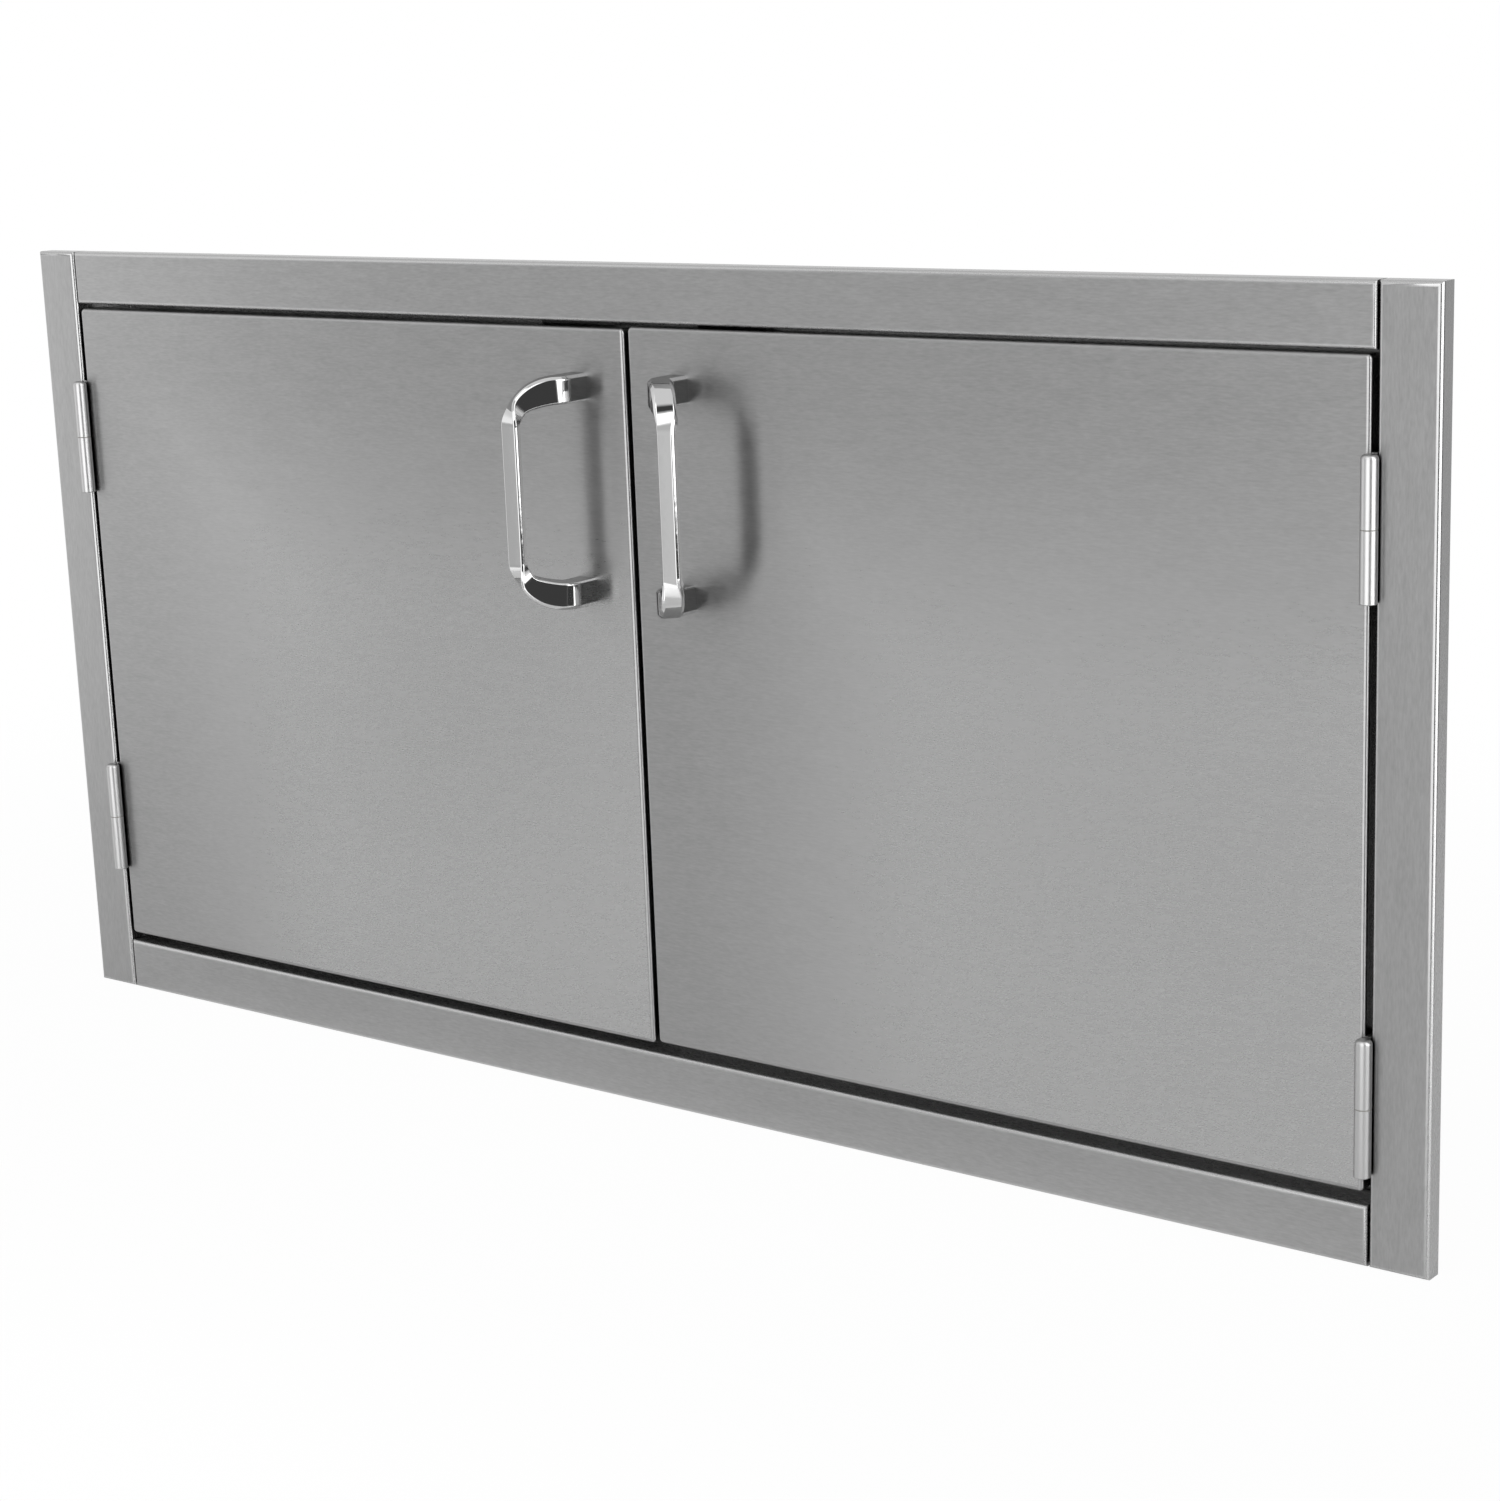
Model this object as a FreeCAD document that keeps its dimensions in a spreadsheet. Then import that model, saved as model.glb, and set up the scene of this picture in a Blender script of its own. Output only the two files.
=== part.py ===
import FreeCAD, Part
import math
import os
import re
import Sketcher

# Double access door for an outdoor kitchen island.
# X runs to the right, Z runs up and the front looks along minus Y.
# The origin is the middle of the wall cut-out, in the plane of the island's face.

DOC = FreeCAD.newDocument("access_door")
SHEET = DOC.addObject("Spreadsheet::Sheet", "Sizes")

# Driving sizes in millimetres and degrees
SIZES = {
    # Trim frame
    "frame_width": 1066.8,
    "frame_height": 533.4,
    "trim_face": 35.5,
    "trim_depth": 12.7,
    "trim_sheet": 1.2,
    "trim_bend": 3.0,
    "sleeve_depth": 37.3,
    "rail_flange": 16.0,
    "flange_bend": 1.8,
    "rail_reveal": 1.0,
    "mount_hole_radius": 2.75,
    "mount_hole_row": 27.0,
    "side_hole_spacing": 300.0,
    "rail_hole_spacing": 500.0,
    # Corner angles behind the trim
    "angle_leg": 26.0,
    "angle_sheet": 1.5,
    "angle_width": 24.0,
    "angle_setback": 5.0,
    # Doors
    "door_depth": 19.0,
    "door_sheet": 1.0,
    "door_bend": 2.6,
    "door_corner": 3.0,
    "door_top_gap": 2.75,
    "door_bottom_gap": 6.65,
    "door_hang": 0.65,
    "centre_gap": 3.1,
    "liner_sheet": 0.8,
    "liner_bend": 1.6,
    "liner_flange": 8.0,
    "liner_clearance": 0.15,
    "stiffener_width": 44.0,
    "stiffener_sheet": 1.2,
    "stiffener_end_gap": 6.0,
    "stiffener_bend": 2.2,
    # Lift-off hinges
    "hinge_length": 78.0,
    "hinge_from_top": 89.2,
    "left_hinge_from_bottom": 88.5,
    "right_hinge_from_bottom": 50.0,
    "barrel_radius": 4.75,
    "barrel_dome": 2.6,
    "barrel_foot_round": 0.65,
    "barrel_forward": 4.2,
    "pin_radius": 2.5,
    "pin_bevel": 0.5,
    "pin_fit": 0.02,
    "running_clearance": 0.05,
    "pin_engagement": 32.0,
    "pin_headroom": 1.3,
    "washer_thickness": 0.6,
    "washer_lift": 0.1,
    "leaf_sheet": 1.6,
    "leaf_clearance": 0.2,
    "leaf_reach": 19.0,
    "knuckle_clearance": 0.5,
    "leaf_rivet_spacing": 27.0,
    "rivet_radius": 1.6,
    "rivet_fit": 0.02,
    "rivet_sink": 1.0,
    "rivet_tail": 0.9,
    "rivet_tail_radius": 2.7,
    # Offset pull handles
    "handle_from_top": 99.5,
    "handle_inset": 38.0,
    "handle_centres": 127.0,
    "handle_offset": 21.8,
    "handle_reach": 38.6,
    "foot_width": 15.8,
    "foot_height": 17.0,
    "foot_length": 17.0,
    "foot_chamfer": 2.0,
    "arm_width": 15.0,
    "arm_drop": 21.5,
    "arm_ease": 1.4,
    "grip_width": 13.3,
    "grip_depth": 5.8,
    "grip_chamfer": 1.3,
    "handle_screw_radius": 2.5,
    "handle_screw_grip": 10.0,
    "handle_screw_end_room": 1.0,
    "handle_screw_fit": 0.05,
    "handle_screw_head": 4.5,
    "handle_screw_head_height": 3.0,
    "screw_clearance": 0.1,
    "access_hole_radius": 7.0,
    "plug_depth": 2.4,
    "plug_flange": 1.6,
    "plug_flange_height": 1.2,
    # Magnet catches and strike plates
    "catch_from_centre": 62.0,
    "catch_width": 46.0,
    "catch_height": 19.0,
    "catch_depth": 15.0,
    "catch_edge_round": 1.25,
    "magnet_width": 30.0,
    "magnet_height": 6.0,
    "magnet_depth": 9.0,
    "magnet_clearance": 0.1,
    "pole_sheet": 1.2,
    "pole_proud": 1.2,
    "catch_clearance": 0.3,
    "catch_screw_radius": 1.6,
    "catch_screw_inset": 3.6,
    "catch_screw_head": 3.0,
    "catch_screw_crown": 1.8,
    "catch_screw_head_height": 1.8,
    "catch_screw_tip": 2.2,
    "strike_width": 52.0,
    "strike_height": 14.0,
    "strike_drop": 2.8,
    "strike_rivet_inset": 5.0,
    "strike_sheet": 1.5,
    # Stop strips with bumpers
    "stop_end_gap": 3.0,
    "stop_meet_gap": 0.4,
    "stop_height": 24.0,
    "stop_foot": 12.5,
    "stop_sheet": 1.5,
    "stop_bend": 2.4,
    "stop_rivet_inset": 36.75,
    "stop_rivet_row": 7.5,
    "bumper_from_centre": 62.0,
    "bumper_radius": 6.0,
    "bumper_thickness": 3.0,
    "bumper_height": 16.0,
    "bumper_gap": 0.3,
}

# Sizes that follow from the driving ones
DERIVED = {
    "hinge_gap": "2 * leaf_sheet + leaf_clearance",
    "door_width": "frame_width / 2 - trim_face - hinge_gap - centre_gap / 2",
    "door_height": "frame_height - 2 * trim_face - door_top_gap - door_bottom_gap",
    "door_rear": "door_depth - trim_depth",
    "door_inside": "door_sheet - trim_depth",
    "opening_top": "frame_height / 2 - trim_face",
    "axis_y": "-(trim_depth + barrel_forward)",
    "leaf_face": "leaf_clearance / 2",
    "leaf_start": "barrel_radius + knuckle_clearance",
    "leaf_middle": "(leaf_start + leaf_reach) / 2",
    "rivet_hole": "rivet_radius + rivet_fit",
    "catch_z": "opening_top - catch_height / 2",
    "catch_front": "door_rear + strike_sheet + catch_clearance + pole_proud",
    "stop_y": "door_rear + bumper_gap + bumper_thickness",
    "stop_length": "frame_width / 2 - trim_face - rail_reveal - stop_end_gap - stop_meet_gap",
    "stop_middle": "stop_meet_gap + stop_length / 2",
    "stop_rivet_spacing": "(stop_length - 2 * stop_rivet_inset) / 3",
}

# Cross-sections that shape each arm of a handle
ARM_STEPS = 8

# Places of a stop strip's rivets, in half spacings from its middle
STOP_RIVETS = (-3, -1, 1, 3)


def fill_sheet():
    """Write each size as a plain number, with its own word as alias."""
    for row, (word, number) in enumerate(SIZES.items(), start=1):
        SHEET.set("A%d" % row, word)
        SHEET.set("B%d" % row, str(number))
        SHEET.setAlias("B%d" % row, word)
    DOC.recompute()


def full(text):
    """Turn the plain words of a formula into references to the sheet's cells."""
    def one(word):
        if word.group(0) in DERIVED:
            return "(%s)" % full(DERIVED[word.group(0)])
        return "Sizes." + word.group(0)
    return re.sub(r"[a-z][a-z_]+", one, text)


def value(text):
    """The number that a formula gives now."""
    result = SHEET.evalExpression(full(text))
    return float(getattr(result, "Value", result))


def bind(item, prop, text):
    """Tie one property to a formula of the sheet."""
    item.setExpression(prop, full(text))


SIDES = {"left": -1, "right": 1}
ENDS = {"top": 1, "bottom": -1}
LEVELS = ("upper", "lower")


def door_z(side):
    """Height of a door's middle; the left door hangs a little lower than the right."""
    return "(opening_top - door_top_gap + %d * door_hang - door_height / 2)" % SIDES[side]


def hinge_x(side):
    return "(%d * (frame_width / 2 - trim_face - hinge_gap / 2))" % SIDES[side]


def hinge_z(side, level):
    """Height of the seam between a hinge's two knuckles."""
    if level == "upper":
        return "(%s + door_height / 2 - hinge_from_top)" % door_z(side)
    return "(%s - door_height / 2 + %s_hinge_from_bottom)" % (door_z(side), side)


def foot_x(side):
    return "(%d * (centre_gap / 2 + handle_inset))" % SIDES[side]


def handle_z(side):
    return "(%s + door_height / 2 - handle_from_top)" % door_z(side)


def stop_rivet_x(step):
    return "%d * stop_rivet_spacing / 2" % step


def strip(sign, start, end):
    """Left edge and width of a strip that lies from start to end, on the side of sign."""
    if sign > 0:
        return start, "(%s - %s)" % (end, start)
    return "(-(%s))" % end, "(%s - %s)" % (end, start)


# Sketches and features
CUTS = []


def new_body(name, x="0", y="0", z="0"):
    """An empty body named after the piece, at its place in the object."""
    made = DOC.addObject("PartDesign::Body", name)
    made.Label = name
    for axis, text in zip("xyz", (x, y, z)):
        bind(made, "Placement.Base." + axis, text)
    return made


def new_sketch(made, name, plane, lift="0"):
    """A sketch on one of the body's own planes, lifted along the plane's normal."""
    drawn = made.newObject("Sketcher::SketchObject", made.Name + "_" + name)
    support = [item for item in made.Origin.OriginFeatures if item.Role == plane + "_Plane"]
    drawn.AttachmentSupport = [(support[0], "")]
    drawn.MapMode = "FlatFace"
    bind(drawn, "AttachmentOffset.Base.z", lift)
    return drawn


def tie(drawn, kind, places, text):
    """A dimension of the sketch that follows a formula."""
    count = drawn.addConstraint(Sketcher.Constraint(kind, *places, value(text)))
    word = "size%d" % count
    drawn.renameConstraint(count, word)
    bind(drawn, "Constraints." + word, text)


def add_polygon(drawn, points):
    """A closed outline, each corner tied to the sketch's origin."""
    corners = [FreeCAD.Vector(value(x), value(y), 0) for x, y in points]
    first = drawn.GeometryCount
    for start, end in zip(corners, corners[1:] + corners[:1]):
        drawn.addGeometry(Part.LineSegment(start, end))
    for number, (x, y) in enumerate(points):
        following = first + (number + 1) % len(points)
        drawn.addConstraint(Sketcher.Constraint("Coincident", first + number, 2, following, 1))
        tie(drawn, "DistanceX", (-1, 1, first + number, 1), x)
        tie(drawn, "DistanceY", (-1, 1, first + number, 1), y)


def add_rectangle(drawn, left, low, wide, tall):
    """A rectangle given by its lower left corner and its two sides."""
    right = "(%s + %s)" % (left, wide)
    high = "(%s + %s)" % (low, tall)
    add_polygon(drawn, [(left, low), (right, low), (right, high), (left, high)])


def add_centred(drawn, wide, tall):
    add_rectangle(drawn, "(-(%s) / 2)" % wide, "(-(%s) / 2)" % tall, wide, tall)


def add_circle(drawn, radius, x="0", y="0"):
    middle = FreeCAD.Vector(value(x), value(y), 0)
    number = drawn.addGeometry(Part.Circle(middle, FreeCAD.Vector(0, 0, 1), value(radius)))
    tie(drawn, "Radius", (number,), radius)
    tie(drawn, "DistanceX", (-1, 1, number, 3), x)
    tie(drawn, "DistanceY", (-1, 1, number, 3), y)


def pad(made, drawn, length, flip=False, both=False):
    grown = made.newObject("PartDesign::Pad", drawn.Name + "_pad")
    grown.Profile = drawn
    grown.Reversed = flip
    grown.Midplane = both
    bind(grown, "Length", length)
    drawn.Visibility = False
    return grown


def pocket(made, drawn, length, flip=False, both=False):
    before = made.Tip
    cut = made.newObject("PartDesign::Pocket", drawn.Name + "_cut")
    cut.Profile = drawn
    cut.Reversed = flip
    cut.Midplane = both
    bind(cut, "Length", length)
    CUTS.append((before, cut))
    return cut


def dress(made, kind, name, prop, size, keep):
    """Round or bevel the edges of the body's newest feature that keep accepts."""
    DOC.recompute()
    base = made.Tip
    chosen = ["Edge%d" % (number + 1) for number, edge in enumerate(base.Shape.Edges) if keep(edge)]
    dressed = made.newObject("PartDesign::" + kind, made.Name + "_" + name)
    dressed.Base = (base, chosen)
    bind(dressed, prop, size)
    return dressed


def lies_at(axis, text):
    """A test for edges that lie flat at one height along an axis."""
    goal = value(text)

    def test(edge):
        box = edge.BoundBox
        low = getattr(box, axis + "Min")
        high = getattr(box, axis + "Max")
        return abs(low - goal) < 1e-4 and abs(high - goal) < 1e-4
    return test


def runs_along(axis):
    """A test for straight edges that run along an axis."""
    def test(edge):
        if not isinstance(edge.Curve, Part.Line):
            return False
        return abs(abs(getattr(edge.Curve.Direction, axis)) - 1) < 1e-6
    return test


def shell(made, sheet, is_open):
    """Hollow the body to an even wall, open at the faces that is_open accepts."""
    DOC.recompute()
    solid = made.Tip
    openings = ["Face%d" % (number + 1) for number, face in enumerate(solid.Shape.Faces) if is_open(face)]
    hollow = made.newObject("PartDesign::Thickness", made.Name + "_hollow")
    hollow.Base = (solid, openings)
    hollow.Reversed = True
    bind(hollow, "Value", sheet)
    CUTS.append((solid, hollow))


def tray(made, wide, tall, deep, sheet, bend, corner=None, opens_back=True):
    """A sheet pan whose rims run back from its face, or forward where it opens to the front."""
    front = "(-(%s))" % deep
    face, opening = (front, "0") if opens_back else ("0", front)
    block = new_sketch(made, "block", "XZ")
    add_centred(block, wide, tall)
    pad(made, block, deep)
    if corner:
        dress(made, "Fillet", "corners", "Radius", corner, runs_along("y"))
    dress(made, "Fillet", "bends", "Radius", bend, lies_at("Y", face))
    shell(made, sheet, lies_at("Y", opening))


# Trim frame
def make_stile(side):
    """Upright of the trim, with the part of the sleeve that goes into the wall."""
    sign = SIDES[side]
    made = new_body(side + "_stile", "%d * (frame_width - trim_face) / 2" % sign)
    tray(made, "trim_face", "frame_height", "trim_depth", "trim_sheet", "trim_bend")
    edge = new_sketch(made, "sleeve", "XZ")
    left, wide = strip(-sign, "(trim_face / 2 - trim_sheet)", "(trim_face / 2)")
    tall = "(frame_height - 2 * trim_face + 2 * trim_sheet)"
    add_rectangle(edge, left, "(-(%s) / 2)" % tall, wide, tall)
    pad(made, edge, "sleeve_depth", flip=True)
    screws = new_sketch(made, "screw_holes", "YZ")
    for end in (-1, 1):
        add_circle(screws, "mount_hole_radius", "mount_hole_row", "%d * side_hole_spacing / 2" % end)
    pocket(made, screws, "2 * trim_face", both=True)
    rivets = new_sketch(made, "rivet_holes", "YZ", "%d * trim_face / 2" % -sign)
    for level in LEVELS:
        for step in (-1, 0, 1):
            add_circle(rivets, "rivet_hole", "(axis_y + leaf_middle)",
                       "(%s + %d * leaf_rivet_spacing)" % (hinge_z(side, level), step))
    pocket(made, rivets, "2 * trim_sheet", flip=sign > 0)
    return made


def make_rail(end):
    """Cross piece of the trim between the stiles; its sleeve ends in a flange turned towards the opening."""
    sign = ENDS[end]
    long = "(frame_width - 2 * trim_face - 2 * rail_reveal)"
    made = new_body(end + "_rail", z="%d * (frame_height - trim_face) / 2" % sign)
    tray(made, long, "trim_face", "trim_depth", "trim_sheet", "trim_bend")
    edge = new_sketch(made, "sleeve", "XZ")
    low, tall = strip(-sign, "(trim_face / 2 - trim_sheet)", "(trim_face / 2)")
    add_rectangle(edge, "(-(%s) / 2)" % long, low, long, tall)
    pad(made, edge, "sleeve_depth", flip=True)
    turned = new_sketch(made, "flange", "XZ", "(trim_sheet - sleeve_depth)")
    low, tall = strip(-sign, "(trim_face / 2 - trim_sheet)", "(trim_face / 2 - trim_sheet + rail_flange)")
    add_rectangle(turned, "(-(%s) / 2)" % long, low, long, tall)
    pad(made, turned, "trim_sheet", flip=True)
    back = lies_at("Y", "sleeve_depth")
    outside = lies_at("Z", "%d * (trim_face / 2 - trim_sheet)" % -sign)
    dress(made, "Fillet", "flange_bend", "Radius", "flange_bend", lambda edge: back(edge) and outside(edge))
    holes = new_sketch(made, "screw_holes", "XY")
    for step in (-1, 1):
        add_circle(holes, "mount_hole_radius", "%d * rail_hole_spacing / 2" % step, "mount_hole_row")
    for way in (-1, 1):
        for step in (-1, 1):
            if end == "top":
                across = "(%d * catch_from_centre + %d * (catch_width / 2 - catch_screw_inset))" % (way, step)
                add_circle(holes, "(catch_screw_radius + screw_clearance)", across,
                           "(catch_front + catch_depth / 2)")
        if end == "bottom":
            for step in STOP_RIVETS:
                add_circle(holes, "rivet_hole", "(%d * stop_middle + %s)" % (way, stop_rivet_x(step)),
                           "(stop_y + stop_rivet_row)")
    pocket(made, holes, "2 * trim_face", both=True)
    return made


def make_corner_angle(end, side):
    """Angle that ties a stile to a rail, on the outside of the sleeve's corner."""
    across = SIDES[side]
    up = ENDS[end]
    made = new_body("%s_%s_corner_angle" % (end, side),
                    "%d * (frame_width / 2 - trim_face + trim_sheet)" % across, "angle_setback",
                    "%d * (frame_height / 2 - trim_face + trim_sheet)" % up)
    outline = new_sketch(made, "outline", "XZ")
    out_x = "%d * angle_sheet" % across
    out_z = "%d * angle_sheet" % up
    leg_x = "%d * angle_leg" % -across
    leg_z = "%d * angle_leg" % -up
    add_polygon(outline, [(out_x, out_z), (leg_x, out_z), (leg_x, "0"), ("0", "0"), ("0", leg_z), (out_x, leg_z)])
    pad(made, outline, "angle_width", flip=True)
    return made


# Hinges
def add_rivet_holes(made, sign):
    """Countersunk holes through a hinge leaf, seen from the leaf that faces it."""
    holes = new_sketch(made, "rivet_holes", "YZ", "%d * leaf_clearance / 2" % sign)
    for step in (-1, 0, 1):
        add_circle(holes, "rivet_hole", "leaf_middle", "%d * leaf_rivet_spacing" % step)
    pocket(made, holes, "2 * leaf_sheet", flip=sign > 0)
    face = lies_at("X", "%d * leaf_clearance / 2" % sign)
    dress(made, "Chamfer", "sinks", "Size", "rivet_sink",
          lambda edge: face(edge) and isinstance(edge.Curve, Part.Circle))


def make_leaf(side, level, of_door):
    """One hinge half: a knuckle and the leaf that reaches back into the gap beside the door."""
    owner = "door" if of_door else "frame"
    made = new_body("%s_%s_%s_leaf" % (side, level, owner), hinge_x(side), "axis_y", hinge_z(side, level))
    sign = -SIDES[side] if of_door else SIDES[side]
    up = 1 if of_door else -1
    seam = "(washer_thickness / 2)"
    start = "(%s + washer_lift)" % seam if of_door else seam
    knuckle_length = "(hinge_length / 2 - %s)" % start
    knuckle = new_sketch(made, "knuckle", "XY", "%d * %s" % (up, start))
    add_circle(knuckle, "barrel_radius")
    pad(made, knuckle, knuckle_length, flip=not of_door)
    dome = "barrel_dome" if of_door else "barrel_foot_round"
    dress(made, "Fillet", "dome", "Radius", dome, lies_at("Z", "%d * hinge_length / 2" % up))
    left, wide = strip(sign, "leaf_face", "(leaf_face + leaf_sheet)")
    neck = new_sketch(made, "neck", "XY", "%d * %s" % (up, start))
    add_rectangle(neck, left, "((pin_radius + barrel_radius) / 2)", wide,
                  "(leaf_start + leaf_sheet - (pin_radius + barrel_radius) / 2)")
    pad(made, neck, "(%s - barrel_dome)" % knuckle_length, flip=not of_door)
    plate = new_sketch(made, "plate", "XY")
    add_rectangle(plate, left, "leaf_start", wide, "(leaf_reach - leaf_start)")
    pad(made, plate, "hinge_length", both=True)
    bore = new_sketch(made, "bore", "XY", "%d * %s" % (up, start))
    if of_door:
        add_circle(bore, "(pin_radius + running_clearance)")
        pocket(made, bore, "(pin_engagement + pin_headroom)", flip=True)
    else:
        add_circle(bore, "(pin_radius + pin_fit)")
        pocket(made, bore, "(hinge_length / 2)")
    add_rivet_holes(made, sign)
    return made


def make_pin(side, level):
    """Hinge pin, fixed in the lower knuckle and standing up into the door's knuckle."""
    made = new_body("%s_%s_hinge_pin" % (side, level), hinge_x(side), "axis_y", hinge_z(side, level))
    round_ = new_sketch(made, "round", "XY", "(-hinge_length / 2)")
    add_circle(round_, "pin_radius")
    pad(made, round_, "(hinge_length / 2 + pin_engagement)")
    dress(made, "Chamfer", "ends", "Size", "pin_bevel", lambda edge: isinstance(edge.Curve, Part.Circle))
    return made


def group(name, shapes):
    """Identical small pieces kept as separate solids under one name."""
    made = DOC.addObject("Part::Feature", name)
    made.Label = name
    made.Shape = Part.makeCompound(shapes)
    return made


def spot(x, y, z):
    return FreeCAD.Vector(value(x), value(y), value(z))


def make_washers():
    """Thrust washers that carry the doors on the lower knuckles."""
    shapes = []
    thick = value("washer_thickness")
    for side in SIDES:
        for level in LEVELS:
            base = spot(hinge_x(side), "axis_y", "%s - washer_thickness / 2" % hinge_z(side, level))
            outer = Part.makeCylinder(value("barrel_radius - leaf_clearance"), thick, base)
            inner = Part.makeCylinder(value("pin_radius + running_clearance"), thick, base)
            shapes.append(outer.cut(inner))
    return group("hinge_washers", shapes)


def flush_rivet(head, way, held):
    """Countersunk rivet: flush head at the given point, shank along way, flat tail behind."""
    shank = value("rivet_radius")
    sink = value("rivet_sink")
    tail = value("rivet_tail")
    cone = Part.makeCone(shank + sink, shank, sink, head, way)
    stem = Part.makeCylinder(shank, held + tail / 2, head, way)
    end = Part.makeCylinder(value("rivet_tail_radius"), tail, head + way * held, way)
    return cone.fuse([stem, end]).removeSplitter()


def leaf_rivets(name, sides, of_door):
    """Rivets that hold hinge leaves to the sheet beside them."""
    shapes = []
    for side in sides:
        sign = -SIDES[side] if of_door else SIDES[side]
        held = value("leaf_sheet + %s" % ("door_sheet" if of_door else "trim_sheet"))
        for level in LEVELS:
            for step in (-1, 0, 1):
                head = spot("%s + %d * leaf_face" % (hinge_x(side), sign), "axis_y + leaf_middle",
                            "%s + %d * leaf_rivet_spacing" % (hinge_z(side, level), step))
                shapes.append(flush_rivet(head, FreeCAD.Vector(sign, 0, 0), held))
    return group(name, shapes)


# Doors
def make_door_panel(side):
    """Outer skin of a door: a pan with rounded edges."""
    sign = SIDES[side]
    made = new_body(side + "_door_panel", "%d * (centre_gap + door_width) / 2" % sign, "door_rear", door_z(side))
    tray(made, "door_width", "door_height", "door_depth", "door_sheet", "door_bend", "door_corner")
    screws = new_sketch(made, "screw_holes", "XZ", "door_depth")
    for way in (-1, 1):
        add_circle(screws, "(handle_screw_radius + screw_clearance)",
                   "(%s - %d * (centre_gap + door_width) / 2)" % (foot_x(side), sign),
                   "(door_height / 2 - handle_from_top + %d * handle_centres / 2)" % way)
    pocket(made, screws, "2 * door_sheet")
    rivets = new_sketch(made, "rivet_holes", "YZ", "%d * door_width / 2" % sign)
    for level in LEVELS:
        for step in (-1, 0, 1):
            add_circle(rivets, "rivet_hole", "(axis_y + leaf_middle - door_rear)",
                       "(%s - %s + %d * leaf_rivet_spacing)" % (hinge_z(side, level), door_z(side), step))
    pocket(made, rivets, "2 * door_sheet", flip=sign < 0)
    return made


def make_door_liner(side):
    """Inner skin that closes the back of a door, with access holes and strike rivet holes."""
    sign = SIDES[side]
    middle = "%d * (centre_gap + door_width) / 2" % sign
    room = "(2 * door_sheet + 2 * liner_clearance)"
    made = new_body(side + "_door_liner", middle, "door_rear", door_z(side))
    tray(made, "(door_width - %s)" % room, "(door_height - %s)" % room, "liner_flange", "liner_sheet",
         "liner_bend", "(door_corner - door_sheet - liner_clearance)", opens_back=False)
    holes = new_sketch(made, "access_holes", "XZ")
    for way in (-1, 1):
        add_circle(holes, "access_hole_radius", "(%s - %s)" % (foot_x(side), middle),
                   "(door_height / 2 - handle_from_top + %d * handle_centres / 2)" % way)
        add_circle(holes, "rivet_hole",
                   "(%d * catch_from_centre + %d * (strike_width / 2 - strike_rivet_inset) - %s)" % (sign, way, middle),
                   "(catch_z - strike_drop - %s)" % door_z(side))
    pocket(made, holes, "2 * liner_sheet", flip=True)
    return made


def make_stiffener(side):
    """Upright channel between the two skins, behind the handle."""
    deep = "(door_depth - door_sheet - liner_sheet)"
    tall = "(door_height - 2 * door_sheet - 2 * stiffener_end_gap)"
    made = new_body(side + "_door_stiffener", foot_x(side), "door_inside", door_z(side))
    block = new_sketch(made, "block", "XY")
    add_rectangle(block, "(-stiffener_width / 2)", "0", "stiffener_width", deep)
    pad(made, block, tall, both=True)
    upright = runs_along("z")
    front = lies_at("Y", "0")
    dress(made, "Fillet", "bends", "Radius", "stiffener_bend", lambda edge: upright(edge) and front(edge))
    hollow = new_sketch(made, "hollow", "XY")
    inner = "(stiffener_width - 2 * stiffener_sheet)"
    add_rectangle(hollow, "(-%s / 2)" % inner, "stiffener_sheet", inner, deep)
    pocket(made, hollow, tall, both=True)
    screws = new_sketch(made, "screw_holes", "XZ")
    for way in (-1, 1):
        add_circle(screws, "(handle_screw_radius + screw_clearance)", "0",
                   "(door_height / 2 - handle_from_top + %d * handle_centres / 2)" % way)
    pocket(made, screws, "2 * stiffener_sheet")
    return made


def bevelled_loop(centre, across, outward, wide, tall, bevel):
    """One cross-section of the casting: a rectangle with bevelled corners."""
    half_w = wide / 2
    half_t = tall / 2
    pairs = [(half_w, half_t - bevel), (half_w - bevel, half_t), (bevel - half_w, half_t), (-half_w, half_t - bevel),
             (-half_w, bevel - half_t), (bevel - half_w, -half_t), (half_w - bevel, -half_t), (half_w, bevel - half_t)]
    corners = [centre + across * u + outward * v for u, v in pairs]
    return Part.makePolygon(corners + corners[:1])


def between(start, end, share):
    return value(start) + (value(end) - value(start)) * share


def arm_sections(side, up):
    """Cross-sections of one arm, from the crease above its foot to the grip."""
    sign = SIDES[side]
    lean = math.atan2(value("handle_offset"), value("handle_reach - foot_length"))
    reach = math.hypot(value("handle_offset"), value("handle_reach - foot_length"))
    along = FreeCAD.Vector(sign * math.sin(lean), -math.cos(lean), 0)
    crease = FreeCAD.Vector(0, -value("foot_length"), up * value("handle_centres") / 2)
    drop = value("arm_drop")
    loops = []
    for step in range(1, ARM_STEPS + 1):
        turn = step / ARM_STEPS * math.pi / 2
        share = 1 - (1 - step / ARM_STEPS) ** value("arm_ease")
        centre = crease + along * (reach * math.sin(turn)) + FreeCAD.Vector(0, 0, up * drop * (math.cos(turn) - 1))
        run = along * (reach * math.cos(turn)) + FreeCAD.Vector(0, 0, -up * drop * math.sin(turn))
        run.normalize()
        twist = lean * (1 - share)
        across = FreeCAD.Vector(math.cos(twist), sign * math.sin(twist), 0)
        across = across - run * across.dot(run)
        across.normalize()
        outward = across.cross(run)
        if outward.dot(along * math.sin(turn) + FreeCAD.Vector(0, 0, up * math.cos(turn))) < 0:
            outward = outward * -1
        loops.append((centre, across, outward, between("arm_width", "grip_width", share),
                      between("foot_height", "grip_depth", share), between("foot_chamfer", "grip_chamfer", share)))
    return loops


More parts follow.
